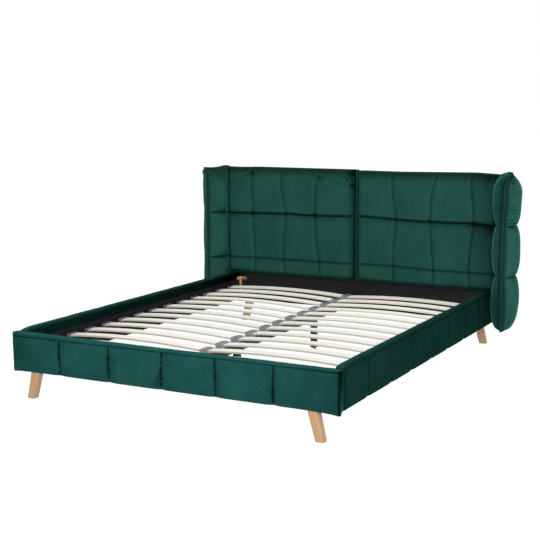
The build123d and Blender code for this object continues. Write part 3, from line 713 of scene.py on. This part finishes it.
RAIL_PAD = 0.012
RAIL_FACE = rail_board_outer + RAIL_PAD
RAIL_END_GAP = 0.0005
RAIL_SEAM_SHARES = (0.122, 0.25, 0.376, 0.502, 0.622, 0.746, 0.863)
RAIL_FORM = {
    "lip": 0.005, "droop": (0, 0), "sag": 0, "lift": 0, "dome": (0.013, 0.007),
    "inner_lift": 0.0025, "end_radius": 0.002, "ends": (0, 0.5), "notch": 0.0042, "fade": 0.28,
    "end_face": 0.0, "inside": 0.55, "top": 0.0, "wander": 0.0015, "dashes": 0.2,
}
# The right rail's top gets painted shade too
RIGHT_RAIL_FORM = {**RAIL_FORM, "top": 0.30, "dome": (0.0145, 0.0095)}

CORNER_FLAP_WIDTH = 0.017
CORNER_FLAP_OUT = 0.0036
CORNER_FLAP_THICKNESS = 0.004


def footboard():
    """Velvet over the footboard, with six panels."""
    front = foot_board_front - FOOT_PAD
    piece = padded_beam(
        "footboard_velvet", cover_low[0], cover_high[0], cover_high[1] - front,
        cover_low[2], cover_high[2], FOOT_SEAMS,
        lambda along, out, up: (along, front - out, up),
        velvet_front, FOOT_FORM, FOOT_FOLDS, seed=1,
    )
    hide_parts("footboard_cover")


def side_rails():
    """Velvet over the side rails, with eight panels each."""
    length = rail_high[1] - rail_low[1]
    seams = [rail_low[1] + share * length for share in RAIL_SEAM_SHARES]
    for side, word in reversed(SIDES):
        piece = padded_beam(
            f"side_rail_velvet_{word}", rail_low[1] + RAIL_END_GAP, rail_high[1] - RAIL_END_GAP,
            RAIL_FACE - rail_low[0], rail_low[2], rail_high[2], seams,
            lambda along, out, up, side=side: (side * (RAIL_FACE + out), along, up),
            velvet_side, RAIL_FORM if side < 0 else RIGHT_RAIL_FORM, seed=21 + side, flip=side > 0,
        )
        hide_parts(f"side_rail_cover_{word}")


def corner_flaps():
    """The footboard's cover is folded round the corner, over the front end of each rail."""
    heights = np.arange(rail_low[2] + 0.001, rail_high[2] - 0.010, STEP)
    for side, word in reversed(SIDES):
        path = [(side * (RAIL_FACE + CORNER_FLAP_OUT), rail_low[1], z) for z in heights]
        ribbon(f"corner_flap_{word}", path, (0, 1, 0), CORNER_FLAP_WIDTH, CORNER_FLAP_THICKNESS,
               27 + side, (0.35, 0.15), velvet_side)


# Headboard

HEAD_SEAM_DEPTH = 0.040
HEAD_CROWN = 0.019
HEAD_EDGE = 0.006
HEAD_TOP_ROUND = 0.062
HEAD_BOTTOM_ROUND = 0.036
HEAD_GAP_ROUND = 0.034
HEAD_END_ROUND = 0.016
HEAD_INNER = {-1: 0.006, 1: 0.016}
HEAD_BOTTOM_GAP = 0.0005
HEAD_TOP_DROP = 0.002
HEAD_RIM = (0.0006, 0.002, 0.005, 0.009, 0.014)
HEAD_TOP_PLACES = (-0.88, -0.80, -0.68, -0.30, -0.03, 0.03, 0.26, 0.50, 0.73, 0.82, 0.88)
HEAD_TOP_LINE = (-0.003, -0.004, 0.000, -0.001, -0.001, -0.0055, -0.0073, -0.0036, -0.0004, -0.005, -0.008)
HEAD_NOTCH = 0.010
HEAD_NOTCH_X = 0.011
HEAD_NOTCH_REACH = 0.005
HEAD_END_HEIGHTS = (0.925, 0.945, 0.960, 0.974, 0.980)
HEAD_END_X = (0.8615, 0.864, 0.870, 0.881, 0.888)

# Seams: heights of the rows, and how the columns (x at each height) and rows (z at each x) wander
ROW_SEAMS = (0.418, 0.700)
WANDER_HEIGHTS = (0.34, 0.42, 0.56, 0.70, 0.84, 0.95)
HEAD_COLUMNS = {
    -1: (
        (-0.676, -0.673, -0.683, -0.693, -0.697, -0.701),
        (-0.467, -0.482, -0.471, -0.460, -0.487, -0.491),
        (-0.228, -0.230, -0.255, -0.262, -0.259, -0.233),
    ),
    1: (
        (0.252, 0.248, 0.253, 0.268, 0.245, 0.237),
        (0.496, 0.500, 0.486, 0.474, 0.481, 0.504),
        (0.720, 0.708, 0.719, 0.739, 0.724, 0.717),
    ),
}
ROW_WANDER_PLACES = (-0.86, -0.695, -0.458, -0.262, 0, 0.04, 0.255, 0.473, 0.74, 0.85)
ROW_WANDER = (
    (-0.002, 0.000, 0.002, 0.002, 0.000, 0.007, 0.006, -0.003, -0.001, -0.003),
    (-0.004, -0.002, 0.005, 0.000, 0.008, 0.012, 0.001, -0.004, -0.001, -0.009),
)

# Gathers on the headboard: middle x and z, reach, depth and fold count
HEAD_PINCHES = {
    -1: (
        (-0.695, 0.952, 0.050, 0.0050, 8),
        (-0.235, 0.935, 0.036, 0.0040, 8),
        (-0.020, 0.960, 0.060, 0.0050, 10),
        (-0.020, 0.890, 0.040, 0.0030, 7),
        (-0.693, 0.700, 0.038, 0.0026, 9),
        (-0.262, 0.700, 0.038, 0.0038, 9),
        (-0.460, 0.700, 0.028, 0.0024, 7),
        (-0.855, 0.700, 0.040, 0.0034, 9),
    ),
    1: (
        (0.030, 0.955, 0.030, 0.0026, 8),
        (0.474, 0.695, 0.036, 0.0024, 9),
        (0.739, 0.697, 0.050, 0.0030, 10),
        (0.268, 0.700, 0.030, 0.0022, 7),
        (0.500, 0.415, 0.028, 0.0020, 7),
        (0.840, 0.700, 0.040, 0.0026, 9),
        (0.820, 0.955, 0.040, 0.0030, 8),
    ),
}
PINCH_START = 0.008

# Rows of short pleats: from x, to x, side of the upper seam, spacing, reach, depth
HEAD_PLEATS = {
    -1: ((-0.87, -0.69, 1, 0.0145, 0.020, 0.0024), (-0.87, -0.69, -1, 0.0150, 0.030, 0.0030),
         (-0.60, -0.20, -1, 0.0170, 0.022, 0.0012)),
    1: ((0.66, 0.87, -1, 0.0165, 0.045, 0.0030), (0.40, 0.66, -1, 0.0180, 0.028, 0.0018),
        (0.70, 0.87, 1, 0.0150, 0.018, 0.0016)),
}
TOP_PLEAT_DEPTH = 0.0022
TOP_PLEAT_DROP = 0.012


def headboard_top(x):
    """How far the headboard's top line dips at each x, with a notch at the middle gap."""
    notch = HEAD_NOTCH * fade(np.abs(x - HEAD_NOTCH_X), HEAD_NOTCH_REACH)
    return np.interp(x, HEAD_TOP_PLACES, HEAD_TOP_LINE) - notch


def headboard_place(side, up, flat, columns, bottom, top):
    """Distance from the bed's middle and height of each point of the flat grid.

    The grid is pulled to the wandering seams, the headboard's end and its top line.
    """
    inner, outer = HEAD_INNER[side], HEAD_END_X[0]
    seams = sorted(zip(columns, HEAD_COLUMNS[side]))
    limits = [inner] + sorted(columns) + [outer]
    x = flat.copy()
    for (place, seam), before, after in zip(seams, limits[:-2], limits[2:]):
        shift = side * (np.interp(up, WANDER_HEIGHTS, seam) - side * place)
        weight = np.where(flat < place, (flat - before) / (place - before), (after - flat) / (after - place))
        x += shift * unit(weight)
    last = max(columns)
    spread = unit((flat - last) / (outer - last)) ** 3
    x += (np.interp(up, HEAD_END_HEIGHTS, HEAD_END_X) - outer) * spread

    z = up.copy()
    rows = (bottom, *ROW_SEAMS, top)
    for weights, wander in zip(((0, 1, 0, 0), (0, 0, 1, 0)), ROW_WANDER):
        z += np.interp(up, rows, weights) * np.interp(side * flat, ROW_WANDER_PLACES, wander)
    z += headboard_top(side * flat) * unit((up - 0.88) / 0.1)
    return x, z


def headboard_folds(side, x, z, up, above, top):
    """Relief of the gathers and pleats, in metres, outwards."""
    relief = TOP_PLEAT_DEPTH * pleats(x, unit(top - TOP_PLEAT_DROP - up), 0.017, 0.026, 53 + side)
    for start, end, way, spacing, reach, depth in HEAD_PLEATS[side]:
        part = pleats(x, unit(above * way), spacing, reach, 43 + side + way) * (above * way > 0)
        relief += depth * part * window(x, start, end, 0.04)
    for middle_x, middle_z, reach, fold, count in HEAD_PINCHES[side]:
        gap_x = x - middle_x
        gap_z = z - middle_z
        far = np.hypot(gap_x, gap_z)
        angle = np.arctan2(gap_z, gap_x)
        star = np.cos(count * angle + 1.8 * ripple(angle * 1.5, far / reach, 59))
        relief += fold * star * fade(far, reach, 1.4) * swell(far, PINCH_START)
        relief -= 1.3 * fold * fade(far, 0.3 * reach, 2)
    return relief


def headboard_depth(side, x, z, column_gap, above, below):
    """How far the cells stand out, with a steep lower side above each row seam."""
    high_row = np.where(above > 0, above / 0.004, -above / 0.026)
    low_row = np.where(below > 0, below / 0.004, -below / 0.012)
    rise = (1 - 0.55 * fade(column_gap, 0.009)) * (1 - 0.75 * np.exp(-high_row))
    rise = rise * (1 - 0.4 * np.exp(-low_row))
    depth = HEAD_SEAM_DEPTH + HEAD_CROWN * rise
    depth -= 0.006 * fade(above, 0.004, 2)
    depth -= 0.002 * fade(np.abs(below), 0.003)
    depth -= 0.003 * fade(column_gap, 0.003, 1.3)
    depth += 0.0028 * ripple(x / 0.09, z / 0.08, 31 + side) * rise
    depth += 0.0014 * ripple(x / 0.035, z / 0.045, 37 + side) * rise
    return depth


def headboard_painted_shade(side, x, up, column_gap, above, below, top, bottom):
    """Shade painted at each point of the headboard, from 0 to 1: in the seams and their crossings, along the
    bottom and top edges, below the upper row seam, beside the middle gap and in the wings' shadow at both
    ends.
    """
    vary = 0.7 + 0.3 * ripple(x / 0.05, up / 0.05, 91)
    painted_shade = 0.5 * vary * fade(column_gap, 0.0022)
    strong = unit(0.55 + 0.4 * np.abs(x - 0.1) / 0.6) * vary / 0.85
    painted_shade = np.maximum(painted_shade, strong * np.exp(-np.where(above > 0, above / 0.0012, -above / 0.0038)))
    dash = np.clip(0.6 + 0.7 * ripple(x / 0.045, up * 0, 93), 0, 1.2)
    painted_shade = np.maximum(painted_shade, 0.28 * dash * fade(np.abs(below), 0.0014))
    crossing = fade(np.hypot(column_gap, above), 0.010) + 0.8 * fade(np.hypot(column_gap, below), 0.008)
    painted_shade = painted_shade + 0.5 * crossing
    painted_shade = painted_shade + 0.95 * fade(up - bottom, 0.010) + 0.3 * fade(top - up, 0.03)
    # Painted shadow of the right wing on the right end; painted shade beside the middle gap on the left
    # half, at the left end, and below the upper row seam, most at the right end
    shade = unit((x - 0.69) / 0.17) if side > 0 else unit((x + 0.06) / 0.05)
    corner = unit((-0.835 - x) / 0.025)
    is_below = above < 0
    under_row = np.minimum(above, 0)
    under = 0.5 * np.exp(under_row / 0.07) * is_below * unit((x - 0.69) / 0.1)
    lower = 0.06 * unit((0.70 - up) / 0.02) + 0.14 * np.exp(under_row / 0.02) * is_below
    return painted_shade + 0.45 * shade ** 1.2 + under + lower + 0.9 * corner ** 2


def headboard_half(side, word):
    """One padded half: four columns and three rows of cells, drawn in at sewn seams."""
    inner, outer = HEAD_INNER[side], HEAD_END_X[0]
    bottom = lower_high[2] + HEAD_BOTTOM_GAP
    top = head_high[2] - HEAD_TOP_DROP
    columns = [abs(float(np.mean(seam))) for seam in HEAD_COLUMNS[side]]
    across = with_rims(stations(inner, outer, columns), HEAD_RIM, inner)
    heights = with_rims(stations(bottom, top, ROW_SEAMS), HEAD_RIM, bottom, top)
    up, flat = np.meshgrid(heights, across, indexing="ij")
    x, z = headboard_place(side, up, flat, columns, bottom, top)
    column_gap = nearest(flat, columns)
    below, above = (up - seam for seam in ROW_SEAMS)

    folds = headboard_folds(side, side * x, z, up, above, top)
    depth = headboard_depth(side, x, z, column_gap, above, below) + folds
    edge = rounding(top - up, HEAD_TOP_ROUND) * rounding(up - bottom, HEAD_BOTTOM_ROUND)
    edge = edge * rounding(flat - inner, HEAD_GAP_ROUND, 0.8) * rounding(outer - flat, HEAD_END_ROUND)
    depth = HEAD_EDGE + (depth - HEAD_EDGE) * edge
    front = np.stack([side * x, lower_low[1] - depth, z], axis=-1)

    painted_shade = headboard_painted_shade(side, side * x, up, column_gap, above, below, top, bottom)
    # Painted shade in the folds and along the edge at the middle gap
    painted_shade = painted_shade + FOLD_SHADE * unit(-folds)
    painted_shade = painted_shade + fade(flat - inner, 0.003 if side < 0 else 0.0010)
    piece = pad_object(f"headboard_velvet_{word}", front, back_low[1], velvet, side < 0, painted_shade)
    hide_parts(f"headboard_cushion_{word}")


# Thin strips of cloth

GAP_FLANGE_X = 0.0015
GAP_FLANGE_WIDTH = 0.026
GAP_FLANGE_WAVE = 0.0012
GAP_BACKING_X = -0.0052
GAP_BACKING_WIDTH = 0.014
TOP_FLANGE_DROP = 0.0095
TOP_FLANGE_WIDTH = 0.011


def ribbon(name, path, across, width, thick, seed, shade=(0.0, 0.0), finish=velvet):
    """Flat folded strip of cloth along a path: across is the direction of its width.

    shade is the shade painted on the strip at its base and at its free edge, from 0 to 1.
    """
    path = np.asarray(path, dtype=float)
    across = np.broadcast_to(np.asarray(across, dtype=float), path.shape)
    across = across / np.linalg.norm(across, axis=1, keepdims=True)
    tangent = np.gradient(path, axis=0)
    tangent = tangent / np.linalg.norm(tangent, axis=1, keepdims=True)
    side = np.cross(tangent, across)
    side = side / np.linalg.norm(side, axis=1, keepdims=True)
    half, round_edge = thick / 2, thick * 0.5
    outline = rounded_outline(
        [(0, -half, 0), (width, -half, round_edge), (width, half, round_edge), (0, half, 0)], thick / 3)
    length = np.concatenate([[0], np.cumsum(np.linalg.norm(np.diff(path, axis=0), axis=1))])
    sway = 0.0007 * ripple(length / 0.03, length * 0, seed)
    sway = (sway + 0.0005 * ripple(length / 0.011, length * 0, seed + 1))[:, None, None]
    out, over = outline[None, :, 0, None], outline[None, :, 1, None]
    rings = (
        path[:, None, :]
        + across[:, None, :] * (out * (1 + 60 * sway))
        + side[:, None, :] * (over + sway * out / width)
    )
    painted_shade = np.broadcast_to(np.interp(outline[:, 0], [0, width], shade), rings.shape[:2])
    piece = tube_object(name, rings, finish, painted_shade=painted_shade)
    return piece


def headboard_flanges():
    """Sewn flanges: up the middle gap, with its backing strip, and along the top of each half."""
    panel = lower_low[1]
    top = head_high[2]
    heights = np.arange(lower_high[2] + 0.004, top - 0.008, STEP)
    wave = GAP_FLANGE_WAVE * ripple(heights / 0.07, heights * 0, 62)
    path = [(GAP_FLANGE_X + shift, panel + 0.004, z) for z, shift in zip(heights, wave)]
    ribbon("gap_flange", path, (-0.06, -1, 0), GAP_FLANGE_WIDTH, 0.003, 61)
    # The backing strip in the gap is velvet painted with shade all over
    path = [(GAP_BACKING_X, back_low[1] - 0.0025, z) for z in heights]
    ribbon("gap_backing", path, (1, 0, 0), GAP_BACKING_WIDTH, 0.0024, 63, (0.6, 0.6))
    for side, word in SIDES:
        places = np.arange(HEAD_INNER[side] - 0.002, HEAD_END_X[-1] - 0.004, STEP)
        rise = headboard_top(side * places)
        path = [(side * x, panel + 0.001, top - TOP_FLANGE_DROP + up) for x, up in zip(places, rise)]
        ribbon(f"top_flange_{word}", path, (0, -0.35, 1), TOP_FLANGE_WIDTH, 0.004, 67 + side)


# Back covers

BACK_RIM = (0, 0.0012, 0.004, 0.009)
BACK_INNER_GAP = 0.001
BACK_OUTER_GAP = 0.0035
BACK_CROWN = 0.009
BACK_ROUND = 0.010


def back_covers():
    """Plain black padded backs of the two halves."""
    wing_face = 0.5 * (back_high[0] + abs(back_low[0]))
    inner = head_low[0] + BACK_INNER_GAP
    outer = wing_face - BACK_OUTER_GAP
    bottom, top = back_low[2] + 0.0005, head_high[2] - 0.001
    across = with_rims(stations(inner, outer, [], 0.006), BACK_RIM, inner, outer)
    heights = with_rims(stations(bottom, top, [], 0.02), BACK_RIM, bottom, top)
    up, x = np.meshgrid(heights, across, indexing="ij")
    gap = np.minimum(np.minimum(x - inner, outer - x), np.minimum(up - bottom, top - up))
    crown = BACK_CROWN * rounding(gap, BACK_ROUND)
    for side, word in SIDES:
        y = back_high[1] - 0.0095 + crown + 0.0006 * ripple(x / 0.12, up / 0.12, 71 + side)
        z = up + headboard_top(side * x) * unit((up - 0.9) / 0.08)
        front = np.stack([side * x, np.minimum(y, back_high[1]), z], axis=-1)
        piece = pad_object(f"back_cover_{word}", front, back_low[1] + 0.001, black_cloth, side > 0)
        if side < 0:
            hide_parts("headboard_back_covers")


# Wings

WING_SPLAY = math.radians(6)
SPLAY_SIN, SPLAY_COS = math.sin(WING_SPLAY), math.cos(WING_SPLAY)
WING_FLANGE_X = 0.943
WING_FRONT = wing_low[1] + 0.0006
WING_BOTTOM, WING_TOP = wing_low[2], wing_high[2]
WING_DEPTH = (lower_high[1] - WING_FRONT) / SPLAY_COS
WING_RIM = (0, 0.0008, 0.003, 0.006, 0.010, 0.016, 0.023)

# Half thickness of the pillow, and the shape of its section from the front lip to the back
WING_CROWN = 0.0785
WING_SEAM = 0.053
WING_SEAM_REACH = 0.04
WING_PUFF = 0.14
WING_LIP = 0.011
WING_WIDEST_SHARE = 0.46
WING_BACK_SHARE = 0.42
WING_THINNEST = 0.002
WING_GROOVE = 0.009
WING_GROOVE_BEHIND = 0.008

# How it closes at both ends: the share of the bottom's rounding that is cut off flat, and its
# fullness, inner and outer
WING_TOP_ROUND = 0.114
WING_BOTTOM_ROUND = 0.188
WING_FLAT_BOTTOM = 0.05
WING_BOTTOM_FULLNESS = (2.9, 2.1)
WING_EAR = 0.012

# The inner side is pressed against the headboard, and below the rail's top against the rail
WING_PRESSED_X = 0.8625
WING_PRESSED_FROM = 0.11
WING_RAIL_TOP = 0.335
WING_PANEL_GAP = 0.013

# How far the top drops at each depth, and the front seam leans outwards at each height
WING_TOP_DEPTHS = (0, 0.06, 0.12, 0.17, 0.219)
WING_TOP_DROPS = {-1: (0.019, 0.023, 0.021, 0.016, 0.014), 1: (0.003, 0.003, 0.006, 0.014, 0.022)}
WING_SEAM_HEIGHTS = (0.12, 0.18, 0.27, 0.55, 0.72, 0.90, 0.93, 0.965, 1.0)
WING_SEAM_OUT = {
    -1: (0.010, 0.016, 0.019, 0.017, 0.0155, 0.018, 0.019, 0.026, 0.033),
    1: (0.004, 0.002, 0.001, -0.002, 0.001, 0.007, 0.011, 0.025, 0.043),
}
WING_LEAN_REACH = 0.09

# Depth of the folds beside the flange, along the row seams and at the top corner
WING_SIDE_FOLD = 0.0075
WING_ROW_FOLD = 0.0036
WING_CORNER_FOLD = 0.0042
WING_CORNER_FOLDS = 22
WING_CORNER_BEFORE = 0.01

# Each side's velvet, top rounding, painted shade beside the front seam and its reach, and the flange's end,
# width and painted shade
WING_FORMS = {
    -1: SimpleNamespace(material=velvet, top_soften=0.85, seam_painted_shade=0.5, seam_reach=0.006,
                        flange_end=0.035, flange_width=0.020, flange_shade=(0.1, 0.0)),
    1: SimpleNamespace(material=velvet_wing, top_soften=0.62, seam_painted_shade=1.0, seam_reach=0.0075,
                       flange_end=0, flange_width=0.014, flange_shade=(0.35, 0.6)),
}
WING_HEM = 0.022


def wing_place(side, u, v, z):
    """World points from the wing's own depth u, inward offset v and height z."""
    x = WING_FLANGE_X - u * SPLAY_SIN - v * SPLAY_COS
    y = WING_FRONT + u * SPLAY_COS - v * SPLAY_SIN
    return np.stack([side * x, y, z], axis=-1)


def wing_seam_out(side, z):
    """Outward lean of the front seam at height z."""
    return np.interp(z, WING_SEAM_HEIGHTS, WING_SEAM_OUT[side])


def wing_lean(side, u, z):
    """Outward shift of the pillow at depth u, where it follows its front seam."""
    return wing_seam_out(side, z) * unit(1 - (u - WING_LIP) / WING_LEAN_REACH) ** 1.4


def wing_drop(side, u):
    """How far the pillow's top lies below its highest point at depth u."""
    return np.interp(u, WING_TOP_DEPTHS, WING_TOP_DROPS[side])


def wing_section(u):
    """Share of the half thickness at depth u: steep at the lip, widest near the middle."""
    share = unit((u - WING_LIP) / (WING_DEPTH - WING_LIP))
    rising = unit(1 - np.abs(1 - share / WING_WIDEST_SHARE) ** 2.1) ** 0.58
    behind = (share - WING_WIDEST_SHARE) / (1 - WING_WIDEST_SHARE)
    falling = 1 - (1 - WING_BACK_SHARE) * behind ** 2
    return np.where(share < WING_WIDEST_SHARE, rising, falling)


def wing_closing(u, z, is_inner, top_soften):
    """1 along the pillow's middle, falling to 0 at its rounded top and blunt bottom."""
    top_share = unit((WING_TOP - z) / WING_TOP_ROUND)
    low_share = WING_FLAT_BOTTOM + (1 - WING_FLAT_BOTTOM) * unit((z - WING_BOTTOM) / WING_BOTTOM_ROUND)
    full = np.where(is_inner, *WING_BOTTOM_FULLNESS)
    low_close = unit(1 - (1 - low_share) ** full) ** (1 / full) * rounding(z - WING_BOTTOM, 0.012)
    soften = np.where(is_inner, 0.85 - 0.5 * unit((u - 0.09) / 0.04), top_soften)
    return np.sin(top_share * math.pi / 2) ** soften * low_close


def wing_folds(u, z, is_inner, gap, seed):
    """Relief of the gathers beside the flange, along the row seams and at the top corner."""
    beside = window(z, 0.74, 0.955, 0.05) * np.where(is_inner, 0.8, 1.0) + window(z, 0.15, 0.22, 0.04)
    slant = 0.35 * np.where(z > 0.5, 1, -1.5)
    side_folds = pleats(z + slant * u, u - WING_LIP, 0.0185, 0.032, seed + 5)
    relief = WING_SIDE_FOLD * (beside + 0.12) * side_folds
    row = fade(gap, 0.016) * swell(gap, 0.003) * window(u, 0.04, 0.21, 0.03)
    relief += WING_ROW_FOLD * row * ripple(u / 0.008, z * 0 + np.sign(z - 0.7), seed + 9)
    far = np.hypot(u + WING_CORNER_BEFORE, z - WING_TOP)
    angle = np.arctan2(WING_TOP - z, u + WING_CORNER_BEFORE)
    star = np.cos(WING_CORNER_FOLDS * angle + 1.4 * ripple(angle * 3, far / 0.05, seed))
    relief += WING_CORNER_FOLD * star * window(far, 0.03, 0.075, 0.025)
    return relief


def wing_pressed(thick, u, z, is_inner, closing, gap):
    """The half thickness, with the inner side pressed flat by the headboard and the rail."""
    pressed = (WING_FLANGE_X - WING_PRESSED_X - u * SPLAY_SIN) / SPLAY_COS
    free = pressed + 0.35 * unit(WING_PRESSED_FROM - u)
    is_flat = is_inner & (u > WING_PRESSED_FROM) & (closing > 0.9)
    thick = np.where(is_flat, np.maximum(thick, pressed - 0.007 * fade(gap, 0.008)), thick)
    thick = np.where(is_inner, np.minimum(thick, free), thick)
    thick = np.where(is_inner & (z < WING_RAIL_TOP), np.minimum(thick, pressed), thick)
    return np.maximum(thick, WING_THINNEST)


def wing_half(u, z, inward, top_soften, seed):
    """Half thickness of the pillow at depth u and height z, and the relief of its folds."""
    is_inner = inward > 0
    section = wing_section(u)
    closing = wing_closing(u, z, is_inner, top_soften)
    gap = nearest(z, ROW_SEAMS)
    puff = swell(gap, WING_SEAM_REACH) / swell(WING_PUFF, WING_SEAM_REACH)
    half = WING_SEAM + (WING_CROWN - WING_SEAM) * puff
    half -= 0.006 * fade(gap, 0.004, 1.3)
    thick = half * section * closing
    soft = ripple(u / 0.07, z / 0.08, seed) + 0.5 * ripple(u / 0.035, z / 0.04, seed + 2 + inward)
    thick += 0.0016 * soft * section * closing
    relief = wing_folds(u, z, is_inner, gap, seed) * section
    thick += relief * unit(closing * 2)
    ear = fade(u - 0.022, 0.02, 2) * fade(z - WING_TOP + 0.026, 0.02, 2)
    thick += WING_EAR * ear * np.where(is_inner, 0.5, 1)
    return wing_pressed(thick, u, z, is_inner, closing, gap), relief


def wing_painted_shade(form, u, z, is_inner, relief):
    """Shade painted at each point of a wing: at the row seams, beside the front seam, along the inner side's
    back edge, and in folds, most near the front seam.
    """
    behind = u - WING_LIP
    painted_shade = 0.8 * fade(nearest(z, ROW_SEAMS), 0.0022)
    reach = np.where(is_inner, form.seam_reach, 0.0025)
    painted_shade = np.maximum(painted_shade, np.where(is_inner, form.seam_painted_shade, 0.5) * fade(behind, reach))
    painted_shade = painted_shade + 0.8 * is_inner * fade(WING_DEPTH - u, 0.006)
    return painted_shade + (1.2 + 2.6 * fade(behind, 0.02)) * FOLD_SHADE * unit(-relief)


def wing_pillow(side, word):
    """Thick pillow of three puffs, closed by a seam down its front."""
    form = WING_FORMS[side]
    heights = stations(WING_BOTTOM, WING_TOP, ROW_SEAMS, WING_STEP)
    heights = with_rims(heights, WING_RIM, WING_BOTTOM, WING_TOP)
    turn = np.linspace(0, 1, int(WING_DEPTH / WING_STEP * 1.25))
    lip = WING_LIP / WING_DEPTH
    depths = (lip + (1 - lip) * (0.35 * turn ** 2 + 0.65 * turn)) * WING_DEPTH
    z, u = np.meshgrid(heights, np.concatenate([depths, depths[::-1]]), indexing="ij")
    inward = np.broadcast_to(np.repeat([1.0, -1.0], len(depths)), u.shape)
    is_inner = inward > 0
    thick, relief = wing_half(u, z, inward, form.top_soften, 81 + side)

    drop = wing_drop(side, u) * unit((z - WING_TOP + 0.2) / 0.2)
    groove = WING_GROOVE * fade(u - WING_LIP - WING_GROOVE_BEHIND, 0.007, 2) * np.where(is_inner, 0.6, 1)
    forward = groove - 0.005 * fade(u - WING_LIP, 0.003)
    rings = wing_place(side, u - forward, inward * thick - wing_lean(side, u, z), z - drop)
    x, y = rings[..., 0], rings[..., 1]
    limit = WING_FLANGE_X - WING_PANEL_GAP - (y - WING_FRONT) * math.tan(WING_SPLAY)
    is_squeezed = (y > lower_low[1] - 0.001) & (np.abs(x) < limit) & is_inner
    rings[..., 0] = np.where(is_squeezed, side * limit, x)

    painted_shade = wing_painted_shade(form, u, z, is_inner, relief)
    piece = tube_object(f"wing_velvet_{word}", rings, form.material, flip=side > 0, painted_shade=painted_shade)
    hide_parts(f"wing_cushion_{word}")


def wing_flange(side, word):
    """Flange that stands out along the pillow's front seam."""
    form = WING_FORMS[side]
    edge = np.arange(WING_BOTTOM - 0.001, WING_TOP - form.flange_end, STEP)
    path = wing_place(side, WING_LIP + 0.001, -wing_seam_out(side, edge), edge)
    ribbon(f"wing_flange_{word}", path, (-0.7, -0.7, 0), form.flange_width, 0.0045, 91 + side,
           form.flange_shade)


def wing_hem(side, word):
    """The cover folded over the rear edge of the board inside."""
    heights = np.arange(wing_board_low[2] - 0.004, wing_board_high[2] + 0.004, 2 * STEP)
    middle = wing_board_low[0] + WING_HEM / 2 - 0.001
    path = [(side * (middle + WING_HEM / 2), wing_board_high[1] + 0.0013, z) for z in heights]
    ribbon(f"wing_hem_{word}", path, (-side, 0, 0), WING_HEM, 0.0014, 85 + side)


def wing_top_seam(side, word):
    """Sewn seam along the pillow's top."""
    depth = np.arange(0.004, WING_DEPTH - 0.02, STEP)
    ridge = WING_TOP - 0.001 - wing_drop(side, depth)
    path = wing_place(side, depth, -wing_lean(side, depth, WING_TOP), ridge)
    ribbon(f"wing_top_seam_{word}", path, (0, 0, 1), 0.005, 0.0045, 95 + side)


def wing(side, word):
    """One wing at the headboard's end: its pillow, flange, hem and top seam."""
    wing_pillow(side, word)
    wing_flange(side, word)
    wing_hem(side, word)
    wing_top_seam(side, word)


# Setting: floor, lights and camera

CAMERA_PLACE = (2.67131, -5.08563, 1.40156)
CAMERA_YAW = math.radians(28.071)
CAMERA_PITCH = math.radians(8.718)
CAMERA_ROLL = math.radians(-0.299)
CAMERA_LENS = 74.34
CAMERA_REACH = 60
SENSOR = 36.0
FLOOR_REACH = 30.0
SKY_STOPS = [(0.0, 1), (0.11, 1), (0.35, 0.82), (0.75, 0.9), (1.0, 1.3)]


def camera():
    """Camera at the photograph's viewpoint."""
    ahead = Vector((
        -math.sin(CAMERA_YAW) * math.cos(CAMERA_PITCH),
        math.cos(CAMERA_YAW) * math.cos(CAMERA_PITCH),
        -math.sin(CAMERA_PITCH),
    ))
    level = Vector((math.cos(CAMERA_YAW), math.sin(CAMERA_YAW), 0))
    upward = level.cross(ahead)
    right = level * math.cos(CAMERA_ROLL) + upward * math.sin(CAMERA_ROLL)
    above = upward * math.cos(CAMERA_ROLL) - level * math.sin(CAMERA_ROLL)
    turn = Matrix((right, above, -ahead)).transposed().to_4x4()
    data = bpy.data.cameras.new("camera")
    data.lens = CAMERA_LENS
    data.sensor_width = SENSOR
    data.clip_end = CAMERA_REACH
    body = bpy.data.objects.new("camera", data)
    body.matrix_world = Matrix.Translation(CAMERA_PLACE) @ turn
    bpy.context.scene.collection.objects.link(body)
    bpy.context.scene.camera = body


def floor():
    """Plain pale floor."""
    material, tree, main = shader("floor_white")
    values = {"Base Color": (0.12, 0.12, 0.12, 1), "Roughness": 0.9, "Specular IOR Level": 0.0}
    feed(tree, main, **values, **{"Emission Color": (1, 1, 1, 1), "Emission Strength": 0.95})
    points = [(a * FLOOR_REACH, b * FLOOR_REACH, 0) for a, b in ((-1, -1), (1, -1), (1, 1), (-1, 1))]
    piece = new_object("floor", points, [[0, 1, 2, 3]], material, ride=False)


def area_light(name, place, aim, size, power):
    """Soft white rectangular lamp pointed at aim."""
    data = bpy.data.lights.new(name, "AREA")
    data.shape = "RECTANGLE"
    data.size, data.size_y = size
    data.energy = power
    lamp = bpy.data.objects.new(name, data)
    lamp.location = place
    lamp.rotation_euler = (Vector(aim) - Vector(place)).to_track_quat("-Z", "Y").to_euler()
    bpy.context.scene.collection.objects.link(lamp)


def lights():
    """White studio surround with a dimmer ceiling, and a large soft key from the front right."""
    world = bpy.data.worlds.new("studio")
    bpy.context.scene.world = world
    world.use_nodes = True
    tree = world.node_tree
    place = add(tree, "ShaderNodeTexCoord").outputs["Generated"]
    height = add(tree, "ShaderNodeSeparateXYZ", Vector=place).outputs["Z"]
    feed(tree, tree.nodes["Background"], Color=grey_ramp(tree, height, SKY_STOPS), Strength=1.0)
    area_light("key", (3.0, -5.3, 3.0), (0, 0.2, 0.4), (3.0, 2.2), 400)
    bpy.context.scene.view_settings.view_transform = "Standard"


dress_frame()
footboard()
side_rails()
corner_flaps()
for half in SIDES:
    headboard_half(*half)
headboard_flanges()
back_covers()
for end in SIDES:
    wing(*end)
floor()
lights()
camera()

bpy.context.view_layer.update()
